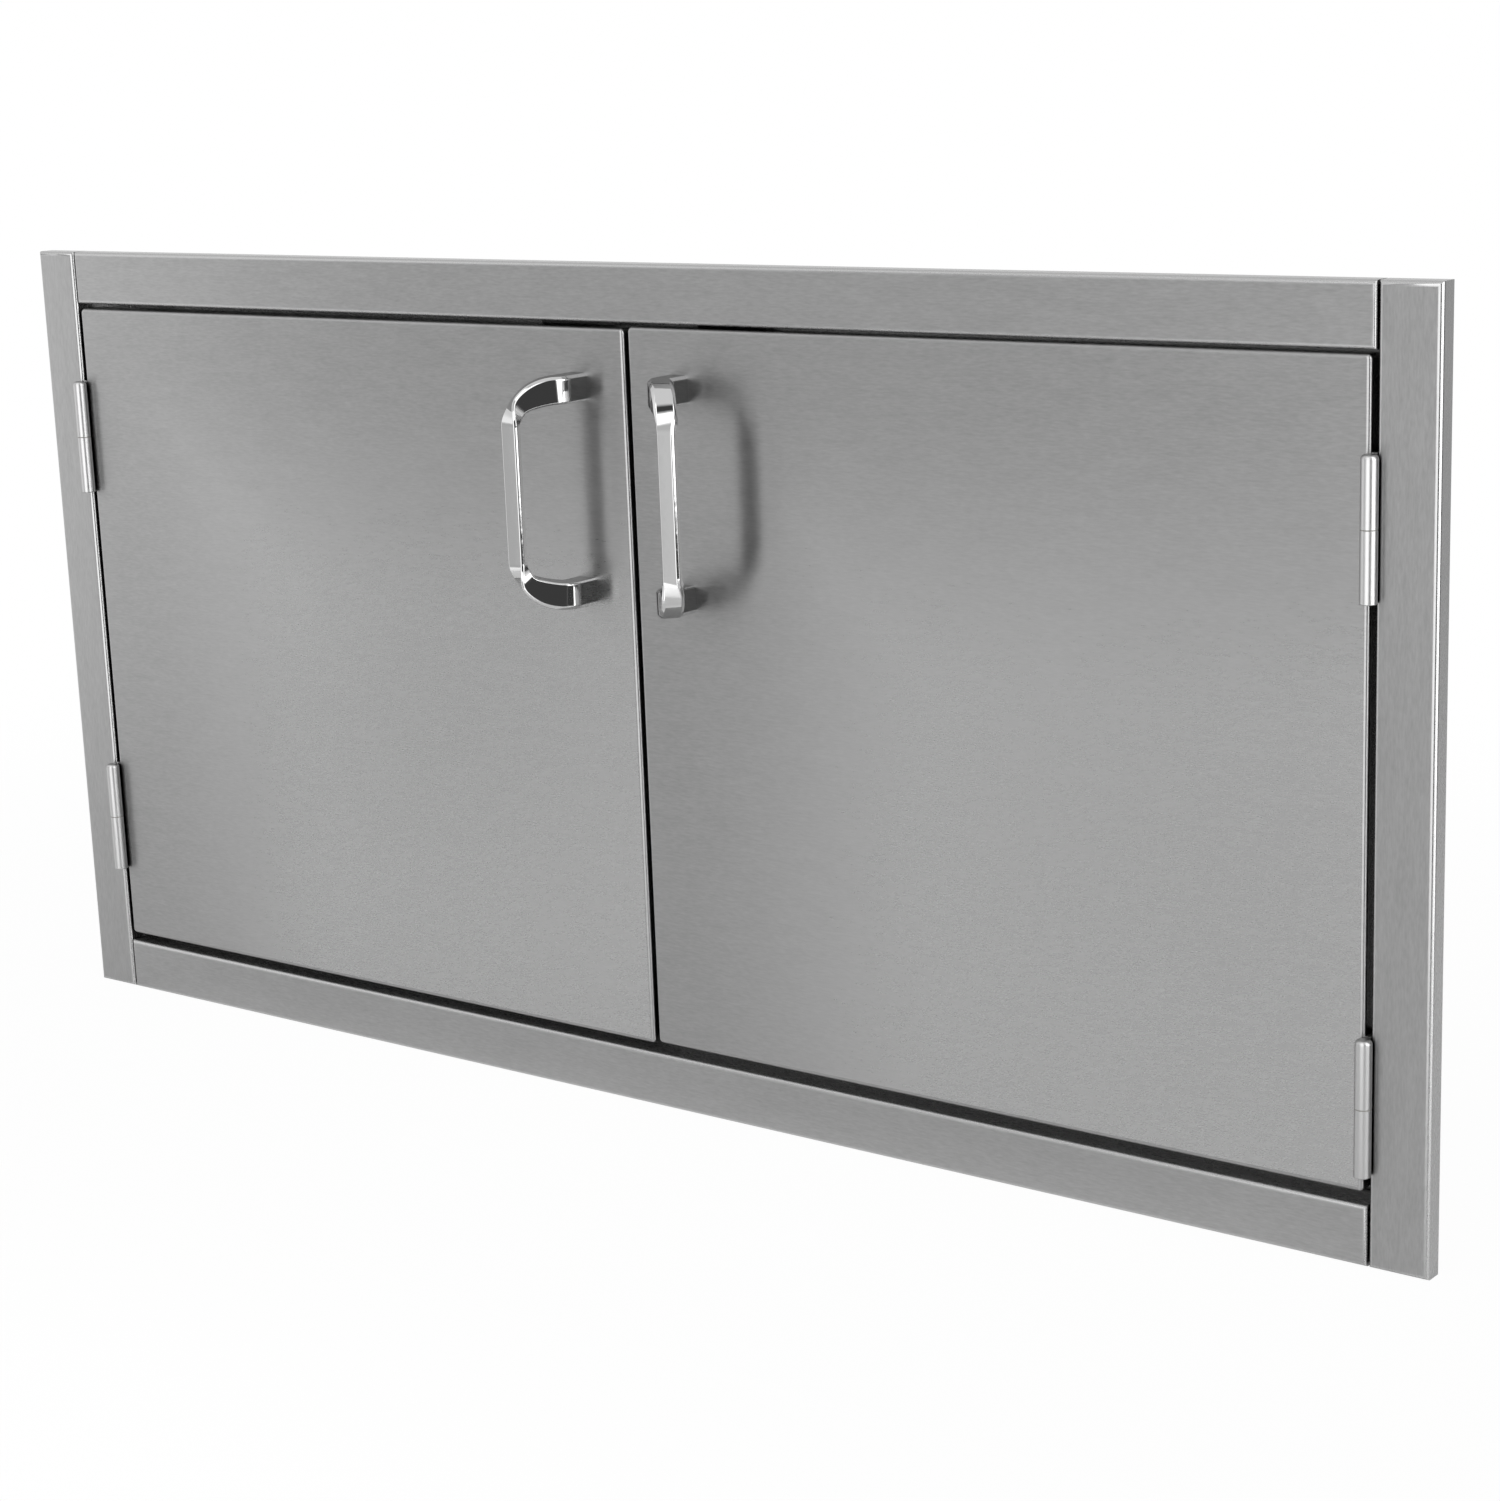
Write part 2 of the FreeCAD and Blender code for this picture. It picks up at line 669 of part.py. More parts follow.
def foot_sections(side, up):
    """The foot's cross-sections: at the door, and mitred where the arm leans away."""
    sign = SIDES[side]
    half = math.atan2(value("handle_offset"), value("handle_reach - foot_length")) / 2
    height = up * value("handle_centres") / 2
    outward = FreeCAD.Vector(0, 0, up)
    mitre = FreeCAD.Vector(math.cos(half), sign * math.sin(half), 0)
    at_door = (FreeCAD.Vector(0, 0, height), FreeCAD.Vector(1, 0, 0), outward, value("foot_width"),
               value("foot_height"), value("foot_chamfer"))
    at_crease = (FreeCAD.Vector(0, -value("foot_length"), height), mitre, outward,
                 value("foot_width") / math.cos(half), value("foot_height"), value("foot_chamfer"))
    return at_door, at_crease


def make_handle(side):
    """Offset pull: two square feet, and a bar that leans away from the meeting edge."""
    arms = []
    feet = []
    for up in (1, -1):
        at_door, at_crease = foot_sections(side, up)
        feet.append(Part.makeLoft([bevelled_loop(*at_door), bevelled_loop(*at_crease)], True, True))
        arms.append([at_crease] + arm_sections(side, up))
    run = arms[0] + arms[1][::-1]
    bar = Part.makeLoft([bevelled_loop(*section) for section in run], True, True)
    whole = feet[0].fuse([bar, feet[1]])
    for up in (1, -1):
        bore = Part.makeCylinder(value("handle_screw_radius + handle_screw_fit"),
                                 value("handle_screw_grip + screw_clearance"),
                                 FreeCAD.Vector(0, 0, up * value("handle_centres") / 2), FreeCAD.Vector(0, -1, 0))
        whole = whole.cut(bore)
    made = DOC.addObject("Part::Feature", side + "_handle")
    made.Label = side + "_handle"
    made.Shape = whole.removeSplitter()
    made.Placement = FreeCAD.Placement(spot(foot_x(side), "(-trim_depth)", handle_z(side)), FreeCAD.Rotation())
    return made


def make_handle_screws(side):
    """Screws that hold the handle, heads inside the stiffening channel."""
    shapes = []
    forward = FreeCAD.Vector(0, -1, 0)
    for way in (-1, 1):
        seat = spot(foot_x(side), "door_inside + stiffener_sheet",
                    "(%s + %d * handle_centres / 2)" % (handle_z(side), way))
        held = value("door_sheet + stiffener_sheet + handle_screw_grip - handle_screw_end_room")
        shank = Part.makeCylinder(value("handle_screw_radius"), held, seat, forward)
        head = Part.makeCylinder(value("handle_screw_head"), value("handle_screw_head_height"), seat, forward * -1)
        shapes.append(shank.fuse(head))
    return group(side + "_handle_screws", shapes)


def make_plugs(side):
    """Plugs that close the screw access holes of the liner."""
    shapes = []
    back = FreeCAD.Vector(0, 1, 0)
    for way in (-1, 1):
        seat = spot(foot_x(side), "door_rear", "(%s + %d * handle_centres / 2)" % (handle_z(side), way))
        stem = Part.makeCylinder(value("access_hole_radius - screw_clearance"), value("plug_depth"), seat, back * -1)
        brim = Part.makeCone(value("access_hole_radius + plug_flange"), value("access_hole_radius"),
                             value("plug_flange_height"), seat, back)
        shapes.append(stem.fuse(brim))
    return group(side + "_liner_plugs", shapes)


def make_strike(side):
    """Steel plate on the liner that the magnet holds."""
    made = new_body(side + "_strike_plate", "%d * catch_from_centre" % SIDES[side], "door_rear",
                    "(catch_z - strike_drop)")
    plate = new_sketch(made, "plate", "XZ")
    add_centred(plate, "strike_width", "strike_height")
    pad(made, plate, "strike_sheet", flip=True)
    holes = new_sketch(made, "rivet_holes", "XZ")
    for way in (-1, 1):
        add_circle(holes, "rivet_hole", "%d * (strike_width / 2 - strike_rivet_inset)" % way)
    pocket(made, holes, "2 * strike_sheet", flip=False)
    rear = lies_at("Y", "strike_sheet")
    dress(made, "Chamfer", "sinks", "Size", "rivet_sink",
          lambda edge: rear(edge) and isinstance(edge.Curve, Part.Circle))
    return made


def make_strike_rivets(side):
    shapes = []
    for way in (-1, 1):
        head = spot("%d * catch_from_centre + %d * (strike_width / 2 - strike_rivet_inset)" % (SIDES[side], way),
                    "door_rear + strike_sheet", "catch_z - strike_drop")
        shapes.append(flush_rivet(head, FreeCAD.Vector(0, -1, 0), value("strike_sheet + liner_sheet")))
    return group(side + "_strike_rivets", shapes)


# Magnet catches under the top rail
def make_catch_housing(side):
    made = new_body(side + "_catch_housing", "%d * catch_from_centre" % SIDES[side], "catch_front", "catch_z")
    block = new_sketch(made, "block", "XZ")
    add_centred(block, "catch_width", "catch_height")
    pad(made, block, "catch_depth", flip=True)
    dress(made, "Fillet", "edges", "Radius", "catch_edge_round", runs_along("y"))
    room = new_sketch(made, "room", "XZ")
    add_centred(room, "(magnet_width + magnet_clearance)", "(magnet_height + 2 * pole_sheet + magnet_clearance)")
    pocket(made, room, "(magnet_depth + magnet_clearance)")
    screws = new_sketch(made, "screw_holes", "XY")
    for way in (-1, 1):
        add_circle(screws, "(catch_screw_radius + screw_clearance)",
                   "%d * (catch_width / 2 - catch_screw_inset)" % way, "(catch_depth / 2)")
    pocket(made, screws, "2 * catch_height", both=True)
    return made


def box(name, wide, deep, tall, x, y, z):
    """A plain block centred across and in height, its front face at y."""
    made = DOC.addObject("Part::Box", name)
    bind(made, "Length", wide)
    bind(made, "Width", deep)
    bind(made, "Height", tall)
    bind(made, "Placement.Base.x", "%s - (%s) / 2" % (x, wide))
    bind(made, "Placement.Base.y", y)
    bind(made, "Placement.Base.z", "%s - (%s) / 2" % (z, tall))
    return made


def make_magnet(side):
    made = box(side + "_catch_magnet", "magnet_width", "magnet_depth", "magnet_height",
               "%d * catch_from_centre" % SIDES[side], "catch_front", "catch_z")
    made.Label = side + "_catch_magnet"
    return made


def make_poles(side):
    """Two steel plates that lead the magnet's pull to the strike."""
    plates = []
    for up, word in ((1, "upper"), (-1, "lower")):
        plates.append(box("%s_%s_pole" % (side, word), "magnet_width", "(magnet_depth + pole_proud)", "pole_sheet",
                          "%d * catch_from_centre" % SIDES[side], "(catch_front - pole_proud)",
                          "(catch_z + %d * (magnet_height + pole_sheet) / 2)" % up))
    made = DOC.addObject("Part::Compound", side + "_catch_poles")
    made.Label = side + "_catch_poles"
    made.Links = plates
    return made


def make_catch_screws():
    shapes = []
    up = FreeCAD.Vector(0, 0, 1)
    for side in SIDES:
        for way in (-1, 1):
            seat = spot("%d * catch_from_centre + %d * (catch_width / 2 - catch_screw_inset)" % (SIDES[side], way),
                        "catch_front + catch_depth / 2", "catch_z - catch_height / 2")
            held = value("catch_height + trim_sheet + catch_screw_tip")
            shank = Part.makeCylinder(value("catch_screw_radius"), held, seat, up)
            head = Part.makeCone(value("catch_screw_head"), value("catch_screw_crown"),
                                 value("catch_screw_head_height"), seat, up * -1)
            shapes.append(shank.fuse(head))
    return group("catch_screws", shapes)


# Stop strips on the bottom rail
def make_stop_strip(side):
    """Angle along the bottom rail that backs the door's lower edge and closes the gap to the eye."""
    made = new_body(side + "_stop_strip", "%d * stop_middle" % SIDES[side], "stop_y", "(-opening_top)")
    outline = new_sketch(made, "outline", "YZ")
    add_polygon(outline, [("0", "0"), ("stop_foot", "0"), ("stop_foot", "stop_sheet"), ("stop_sheet", "stop_sheet"),
                          ("stop_sheet", "stop_height"), ("0", "stop_height")])
    pad(made, outline, "stop_length", both=True)
    low = lies_at("Z", "0")
    front = lies_at("Y", "0")
    dress(made, "Fillet", "bend", "Radius", "stop_bend", lambda edge: low(edge) and front(edge))
    holes = new_sketch(made, "rivet_holes", "XY")
    for step in STOP_RIVETS:
        add_circle(holes, "rivet_hole", "(%s)" % stop_rivet_x(step), "stop_rivet_row")
    pocket(made, holes, "2 * stop_sheet", flip=True)
    return made


def make_stop_rivets():
    shapes = []
    down = FreeCAD.Vector(0, 0, -1)
    for side in SIDES:
        for step in STOP_RIVETS:
            seat = spot("%d * stop_middle + %s" % (SIDES[side], stop_rivet_x(step)), "stop_y + stop_rivet_row",
                        "stop_sheet - opening_top")
            held = value("stop_sheet + trim_sheet")
            stem = Part.makeCylinder(value("rivet_radius"), held, seat, down)
            head = Part.makeCone(value("rivet_tail_radius"), value("rivet_radius"), value("rivet_sink"), seat, down * -1)
            tail = Part.makeCylinder(value("rivet_tail_radius"), value("rivet_tail"), seat + down * held, down)
            shapes.append(stem.fuse([head, tail]))
    return group("stop_strip_rivets", shapes)


def make_bumper(side):
    """Rubber bumper that the closed door rests against."""
    made = new_body(side + "_bumper", "%d * bumper_from_centre" % SIDES[side], "stop_y",
                    "(bumper_height - opening_top)")
    disc = new_sketch(made, "disc", "XZ")
    add_circle(disc, "bumper_radius")
    pad(made, disc, "bumper_thickness")
    dress(made, "Fillet", "edge", "Radius", "(bumper_thickness / 2)", lies_at("Y", "(-bumper_thickness)"))
    return made


def make_pieces():
    """Every piece of the object, in the order of the list in the report."""
    pieces = [make_stile(side) for side in SIDES]
    pieces += [make_rail(end) for end in ENDS]
    pieces += [make_corner_angle(end, side) for end in ENDS for side in SIDES]
    for side in SIDES:
        pieces += [make_leaf(side, level, False) for level in LEVELS]
        pieces += [make_pin(side, level) for level in LEVELS]
        pieces += [make_catch_housing(side), make_magnet(side), make_poles(side)]
        pieces += [make_stop_strip(side), make_bumper(side)]
    pieces += [make_washers(), leaf_rivets("frame_hinge_rivets", list(SIDES), False)]
    pieces += [make_catch_screws(), make_stop_rivets()]
    for side in SIDES:
        pieces += [make_door_panel(side), make_door_liner(side), make_stiffener(side)]
        pieces += [make_handle(side), make_handle_screws(side), make_plugs(side)]
        pieces += [make_strike(side), make_strike_rivets(side)]
        pieces += [make_leaf(side, level, True) for level in LEVELS]
        pieces.append(leaf_rivets(side + "_hinge_rivets", [side], True))
    return pieces


def check(pieces):
    """Stop if a feature failed, a cut removed nothing or a piece has no sound shape."""
    DOC.recompute()
    for item in DOC.Objects:
        if "Invalid" in item.State or "Error" in item.State:
            raise RuntimeError("failed: " + item.Label)
    for before, cut in CUTS:
        if cut.Shape.Volume > before.Shape.Volume - 1e-3:
            raise RuntimeError("cut nothing: " + cut.Label)
    for piece in pieces:
        shape = piece.Shape
        if shape.isNull() or not shape.isValid() or not shape.Solids:
            raise RuntimeError("not sound: " + piece.Label)


def write(pieces):
    os.makedirs("parts", exist_ok=True)
    for piece in pieces:
        piece.Shape.exportStep("parts/%s.step" % piece.Label)


fill_sheet()
PIECES = make_pieces()
check(PIECES)
write(PIECES)
print(len(PIECES), "pieces")
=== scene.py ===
import math

import bmesh
import bpy
from bpy.props import FloatProperty, FloatVectorProperty, IntProperty, PointerProperty
from mathutils import Matrix, Vector
from mathutils.geometry import tessellate_polygon


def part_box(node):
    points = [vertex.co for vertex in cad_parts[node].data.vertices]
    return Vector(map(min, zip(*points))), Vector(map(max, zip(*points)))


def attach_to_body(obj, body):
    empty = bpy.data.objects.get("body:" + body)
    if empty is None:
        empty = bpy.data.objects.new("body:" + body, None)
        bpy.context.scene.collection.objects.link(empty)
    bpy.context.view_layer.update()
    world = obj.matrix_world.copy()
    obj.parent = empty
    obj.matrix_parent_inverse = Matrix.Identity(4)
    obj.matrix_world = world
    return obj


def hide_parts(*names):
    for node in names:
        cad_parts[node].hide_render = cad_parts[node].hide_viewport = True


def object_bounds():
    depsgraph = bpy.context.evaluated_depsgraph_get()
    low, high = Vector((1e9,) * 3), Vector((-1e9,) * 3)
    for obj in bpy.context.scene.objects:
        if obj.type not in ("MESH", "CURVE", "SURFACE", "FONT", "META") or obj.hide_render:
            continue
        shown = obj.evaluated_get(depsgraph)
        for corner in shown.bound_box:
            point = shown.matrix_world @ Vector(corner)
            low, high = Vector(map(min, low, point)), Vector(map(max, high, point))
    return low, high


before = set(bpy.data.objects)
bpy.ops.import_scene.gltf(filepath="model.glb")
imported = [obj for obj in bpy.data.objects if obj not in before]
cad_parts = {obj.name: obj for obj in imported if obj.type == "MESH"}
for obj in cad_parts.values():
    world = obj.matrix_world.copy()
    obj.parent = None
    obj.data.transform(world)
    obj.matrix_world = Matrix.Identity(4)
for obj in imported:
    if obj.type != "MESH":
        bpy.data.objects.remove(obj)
CAD_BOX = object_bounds()

bl_info = {
    "name": "Island Access Door",
    "version": (1, 0, 0),
    "blender": (4, 5, 0),
    "location": "3D View > Sidebar > Access Door",
    "description": "Looks of a double access door for an outdoor kitchen island, built round its solids",
    "category": "Object",
}

MM = 0.001
SIDES = {"left": -1, "right": 1}
ENDS = {"top": 1, "bottom": -1}
LEFT = Vector((-1, 0, 0))
RIGHT = Vector((1, 0, 0))
FORWARD = Vector((0, -1, 0))
BACK = Vector((0, 1, 0))
UP = Vector((0, 0, 1))
SAME_PLACE = 0.0001 * MM  # vertices of one solid lie no further apart where its faces meet
FOLD_ANGLE = math.radians(35)  # an edge of sheet or a fastener that turns more stays sharp
CAST_ANGLE = math.radians(50)  # the same on a casting


# Sizes, colours and studio settings that a user would change

def length(name, description, default):
    return FloatProperty(name=name, description=description, default=default * MM, min=0, precision=4,
                         unit="LENGTH")


def colour(name, description, grey, tint=(1, 1, 1)):
    """A colour given as one grey level, as the shader takes it, with a slight tint."""
    return FloatVectorProperty(name=name, description=description, default=[grey * part for part in tint],
                               min=0, max=1, size=3, subtype="COLOR")


def factor(name, description, default):
    return FloatProperty(name=name, description=description, default=default, min=0, max=1, subtype="FACTOR")


def degrees(name, description, default):
    return FloatProperty(name=name, description=description, default=math.radians(default), subtype="ANGLE")


def whole_number(name, description, default):
    return IntProperty(name=name, description=description, default=default, min=2)


class ACCESS_DOOR_Sizes(bpy.types.PropertyGroup):
    """Sizes of the folds, castings and fasteners"""
    trim_face: length("Trim face", "Width of the trim's face", 35.5)
    trim_sheet: length("Trim sheet", "Thickness of the trim's sheet", 1.2)
    trim_bend: length("Trim bend", "Outer radius of the trim's folds", 3.0)
    rail_flange: length("Rail flange", "Height of the flange behind a cross rail", 16.0)
    flange_bend: length("Flange bend", "Outer radius of the flange's fold", 1.8)
    mount_hole: length("Mount hole radius", "Radius of the screw holes in the sleeve", 2.75)
    mount_hole_row: length("Mount hole row", "How far behind the wall's face the screw holes lie", 27.0)
    side_spacing: length("Side hole spacing", "Distance between the holes of an upright", 300.0)
    rail_spacing: length("Rail hole spacing", "Distance between the holes of a cross rail", 500.0)
    door_sheet: length("Door sheet", "Thickness of a door's outer skin", 1.0)
    door_bend: length("Door bend", "Outer radius of the folds round a door's face", 2.6)
    door_corner: length("Door corner", "Radius of a door's corners", 3.0)
    liner_sheet: length("Liner sheet", "Thickness of a door's inner skin", 0.8)
    liner_bend: length("Liner bend", "Outer radius of the inner skin's folds", 1.6)
    liner_corner: length("Liner corner", "Radius of the inner skin's corners", 1.85)
    foot_width: length("Foot width", "Width of a handle's foot", 15.8)
    foot_height: length("Foot height", "Height of a handle's foot", 17.0)
    foot_length: length("Foot length", "How far a foot stands out from the door", 17.0)
    crease_round: length("Crease round", "Rounding of the outer side where an arm leaves its foot", 6.5)
    arm_width: length("Arm width", "Width of an arm where it leaves its foot", 15.0)
    arm_drop: length("Arm drop", "Height that an arm loses on its way to the grip", 21.5)
    arm_bevel: length("Arm bevel", "Bevel along the outer edges of a foot and its arm", 2.1)
    inner_bevel: length("Inner bevel", "Bevel along the inner edges of a foot and its arm", 1.2)
    arm_ease: FloatProperty(name="Arm ease", default=1.3,
                            description="How late an arm thins towards the grip")
    twist_start: degrees("Twist start", "Where along its bend an arm starts to face forward", 46)
    grip_offset: length("Grip offset", "How far the grip stands to the side of its feet", 21.8)
    grip_reach: length("Grip reach", "Distance from the door to the middle of the grip", 38.6)
    grip_width: length("Grip width", "Width of the grip", 13.3)
    grip_depth: length("Grip depth", "Thickness of the grip", 5.8)
    grip_bevel: length("Grip bevel", "Bevel along the grip's outer edges", 1.5)
    grip_inner_bevel: length("Grip inner bevel", "Bevel along the grip's inner edges", 0.9)
    grip_draft: FloatProperty(name="Grip draft", default=0.16,
                              description="How far the grip's sides draw in per depth")
    rivet_shank: length("Rivet shank", "Radius of a hinge rivet's shank", 1.6)
    rivet_sink: length("Rivet sink", "Depth of a rivet's countersunk head", 1.0)
    rivet_rise: length("Rivet rise", "How far a rivet's head swells out of its hole", 0.06)
    rivet_tail: length("Rivet tail", "Radius of a rivet's set tail", 2.7)
    rivet_tail_rise: length("Rivet tail rise", "Height of a rivet's set tail", 0.9)
    fold_steps: whole_number("Fold steps", "Facets across each fold", 10)
    turn_steps: whole_number("Turn steps", "Facets round each fastener", 28)
    crease_steps: whole_number("Crease steps", "Sections round each crease of a handle", 8)
    arm_steps: whole_number("Arm steps", "Sections along each arm of a handle", 24)


class ACCESS_DOOR_Finish(bpy.types.PropertyGroup):
    """Colours and surface finish of each material"""
    door_steel: colour("Door steel", "Brushed steel of the doors", 0.462)
    trim_steel: colour("Trim steel", "Brushed steel of the trim", 0.487)
    liner_steel: colour("Liner steel", "Brushed steel inside the doors", 0.50)
    hinge_steel: colour("Hinge steel", "Fine ground steel of the hinges", 0.58)
    bracket_steel: colour("Bracket steel", "Plain steel of the angles, channels and stops", 0.46)
    fastener_steel: colour("Fastener steel", "Steel of the rivets and screws", 0.55)
    plate_steel: colour("Plate steel", "Zinc plated steel of strikes and poles", 0.52, (1, 1, 0.97))
    chrome: colour("Chrome", "Chrome plating of the handles", 0.80)
    catch_plastic: colour("Catch plastic", "Moulded plastic of the catch housings", 0.035)
    plug_plastic: colour("Plug plastic", "Moulded plastic of the access plugs", 0.18)
    washer_nylon: colour("Washer nylon", "Nylon of the thrust washers", 0.2, (1, 0.98, 0.92))
    ferrite: colour("Ferrite", "Sintered magnet", 0.045)
    rubber: colour("Rubber", "Bumper rubber", 0.03)
    brushed_roughness: factor("Brushed roughness", "Mean roughness of brushed steel", 0.33)
    brushed_pull: factor("Brushed pull", "How much the brushing draws out reflections", 0.85)
    chrome_roughness: factor("Chrome roughness", "Mean roughness of the chrome", 0.05)
    grain_length: length("Grain length", "Length of a brushed line", 6.0)
    grain_width: length("Grain width", "Width of a brushed line", 1.0)


class ACCESS_DOOR_Studio(bpy.types.PropertyGroup):
    """Floor, camera and soft light"""
    floor_white: factor("Floor white", "Lightness of the floor", 0.62)
    floor_glow: factor("Floor glow", "How far the floor is lifted to the white of the background", 0.97)
    lamp_power: FloatProperty(name="Lamp power", description="Power of the soft lamp above", default=9.0,
                              min=0, subtype="POWER")
    lens: FloatProperty(name="Lens", description="Focal length", default=74.75, min=1, unit="CAMERA")


# Small helpers for meshes and node trees

def settings(name):
    return getattr(bpy.context.scene, "access_door_" + name)


def feed_socket(tree, socket, feed):
    """Link the socket to a feed that is a socket too, or set its value."""
    if isinstance(feed, bpy.types.NodeSocket):
        tree.links.new(feed, socket)
    else:
        socket.default_value = feed


def add_node(tree, kind, feeds=None, **choices):
    """Add a node, make its choices, and feed each socket that feeds names."""
    node = tree.nodes.new(kind)
    for word, choice in choices.items():
        setattr(node, word, choice)
    for word, feed in (feeds or {}).items():
        feed_socket(tree, node.inputs[word], feed)
    return node


def calc(tree, operation, *feeds):
    """A Math node's result."""
    return add_node(tree, "ShaderNodeMath", dict(enumerate(feeds)), operation=operation).outputs[0]


def combine(tree, x, y, z):
    return add_node(tree, "ShaderNodeCombineXYZ", {0: x, 1: y, 2: z}).outputs[0]


def parts(tree, vector):
    return add_node(tree, "ShaderNodeSeparateXYZ", {0: vector}).outputs


def smooth(tree, feed, start, end, lowest=0.0):
    """Rises from lowest at start to 1 at end."""
    return add_node(tree, "ShaderNodeMapRange", {
        "Value": feed, "From Min": start, "From Max": end, "To Min": lowest},
        interpolation_type="SMOOTHSTEP").outputs[0]


def window(tree, feed, start, full, still, end):
    """Rises from 0 at start to 1 at full, and falls again from still to end."""
    return calc(tree, "MULTIPLY", smooth(tree, feed, start, full), smooth(tree, feed, end, still))


def mix(tree, amount, first, second):
    return add_node(tree, "ShaderNodeMix", {"Factor": amount, "A": first, "B": second}).outputs["Result"]


def open_tree(name, kind, inputs, outputs):
    """A new node group with named sockets; gives the tree, its inputs and its output node."""
    tree = bpy.data.node_groups.new(name, kind)
    for word, socket, default in inputs:
        made = tree.interface.new_socket(word, in_out="INPUT", socket_type="NodeSocket" + socket)
        if default is not None:
            made.default_value = default
    for word, socket in outputs:
        tree.interface.new_socket(word, in_out="OUTPUT", socket_type="NodeSocket" + socket)
    return tree, tree.nodes.new("NodeGroupInput").outputs, tree.nodes.new("NodeGroupOutput")


def mesh_object(name, mesh):
    made = bpy.data.objects.new(name, mesh)
    bpy.context.scene.collection.objects.link(made)
    return made


def from_bmesh(name, shape):
    mesh = bpy.data.meshes.new(name)
    shape.to_mesh(mesh)
    shape.free()
    return mesh_object(name, mesh)


def settle(piece):
    """Turn the piece's modifiers into a plain mesh."""
    shown = piece.evaluated_get(bpy.context.evaluated_depsgraph_get())
    mesh = bpy.data.meshes.new_from_object(shown)
    piece.modifiers.clear()
    piece.data = mesh
    return piece


def finish_mesh(piece, sharp=FOLD_ANGLE):
    """Keep flats flat and folds smooth, and leave a plain mesh."""
    mesh = piece.data
    mesh.polygons.foreach_set("use_smooth", [True] * len(mesh.polygons))
    mesh.set_sharp_from_angle(angle=sharp)
    piece.modifiers.new("Flats", "WEIGHTED_NORMAL").keep_sharp = True
    return settle(piece)


def attach(piece, body, material, node):
    """Paint the piece, let it ride on its body and stand for its CAD node."""
    piece.data.materials.clear()
    piece.data.materials.append(material)
    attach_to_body(piece, body)
    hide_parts(node)


def solids_of(node):
    """Lowest and highest corner of every separate solid of a CAD node."""
    shape = bmesh.new()
    shape.from_mesh(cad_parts[node].data)
    bmesh.ops.remove_doubles(shape, verts=shape.verts, dist=SAME_PLACE)
    waiting = set(shape.verts)
    found = []
    while waiting:
        group = set()
        edge = [waiting.pop()]
        while edge:
            point = edge.pop()
            group.add(point)
            near = {link.other_vert(point) for link in point.link_edges} & waiting
            waiting -= near
            edge.extend(near)
        places = [point.co for point in group]
        found.append((Vector(map(min, zip(*places))), Vector(map(max, zip(*places)))))
    shape.free()
    return sorted(found, key=lambda pair: tuple(round(part, 5) for part in pair[0]))


# Shared shader effects

GREY = (0.5, 0.5, 0.5, 1)
RUBBED_METAL = (0.75, 0.75, 0.75, 1)
WORN_FROM, WORN_FULL = 0.505, 0.56  # pointiness, which is 0.5 on a flat
SHUT_IN, OPEN_AIR = 0.2, 0.42  # share of the air round a spot that is free, in a gap and outside it, where the painted gap shade is full and where it ends
RIM_FROM, RIM_FULL = 3.2 * MM, 1.2 * MM  # the trim's outer rim, measured in from its edge, which the painted gap shade leaves out
BAND_SHARE, BAND_SCALE = 0.25, 0.17  # broad bands among the fine brushed lines
CELL_SHARE, CELL_SCALE = 0.35, 0.2  # coarse cells among the fine grain


def object_place(tree):
    return add_node(tree, "ShaderNodeTexCoord").outputs["Object"]


def stretched(tree, place, stretch):
    return add_node(tree, "ShaderNodeVectorMath", {0: place, 1: stretch}, operation="MULTIPLY").outputs[0]


def scaled(tree, vector, amount):
    return add_node(tree, "ShaderNodeVectorMath", {0: vector, "Scale": amount}, operation="SCALE").outputs[0]


def noise(tree, place, scale, detail, roughness=0.5):
    return add_node(tree, "ShaderNodeTexNoise", {"Vector": place, "Scale": scale, "Detail": detail,
                                                 "Roughness": roughness}).outputs["Fac"]


def open_effect(name, inputs, *outputs):
    """A shader group that takes a colour, and gives it back changed with what else outputs names."""
    sockets = {"Colour": "Color", "Roughness": "Float", "Height": "Float"}
    return open_tree(name, "ShaderNodeTree", [("Colour", "Color", GREY), *inputs],
                     [(word, sockets[word]) for word in outputs])


def give(tree, result, **feeds):
    """Link what an effect gives to its output node."""
    for word, feed in feeds.items():
        tree.links.new(feed, result.inputs[word])
    return tree


def varied(tree, given, pattern, contrast, change):
    """Colour and roughness that rise and fall with a pattern, round its middle value."""
    centred = calc(tree, "SUBTRACT", pattern, 0.5)
    return {"Colour": scaled(tree, given["Colour"], calc(tree, "MULTIPLY_ADD", centred, contrast, 1.0)),
            "Roughness": calc(tree, "MULTIPLY_ADD", centred, change, given["Roughness"])}


def make_brushed_grain():
    """Fine lines drawn along one direction."""
    tree, given, result = open_effect(
        "brushed_grain", [("Lines", "Vector", (60, 2800, 2800)), ("Contrast", "Float", 0.12),
                          ("Roughness", "Float", 0.3), ("Roughness Change", "Float", 0.1)],
        "Colour", "Roughness", "Height")
    drawn = stretched(tree, object_place(tree), given["Lines"])
    lines = mix(tree, BAND_SHARE, noise(tree, drawn, 1.0, 2.0, 0.6), noise(tree, drawn, BAND_SCALE, 2.0))
    return give(tree, result, Height=lines,
                **varied(tree, given, lines, given["Contrast"], given["Roughness Change"]))


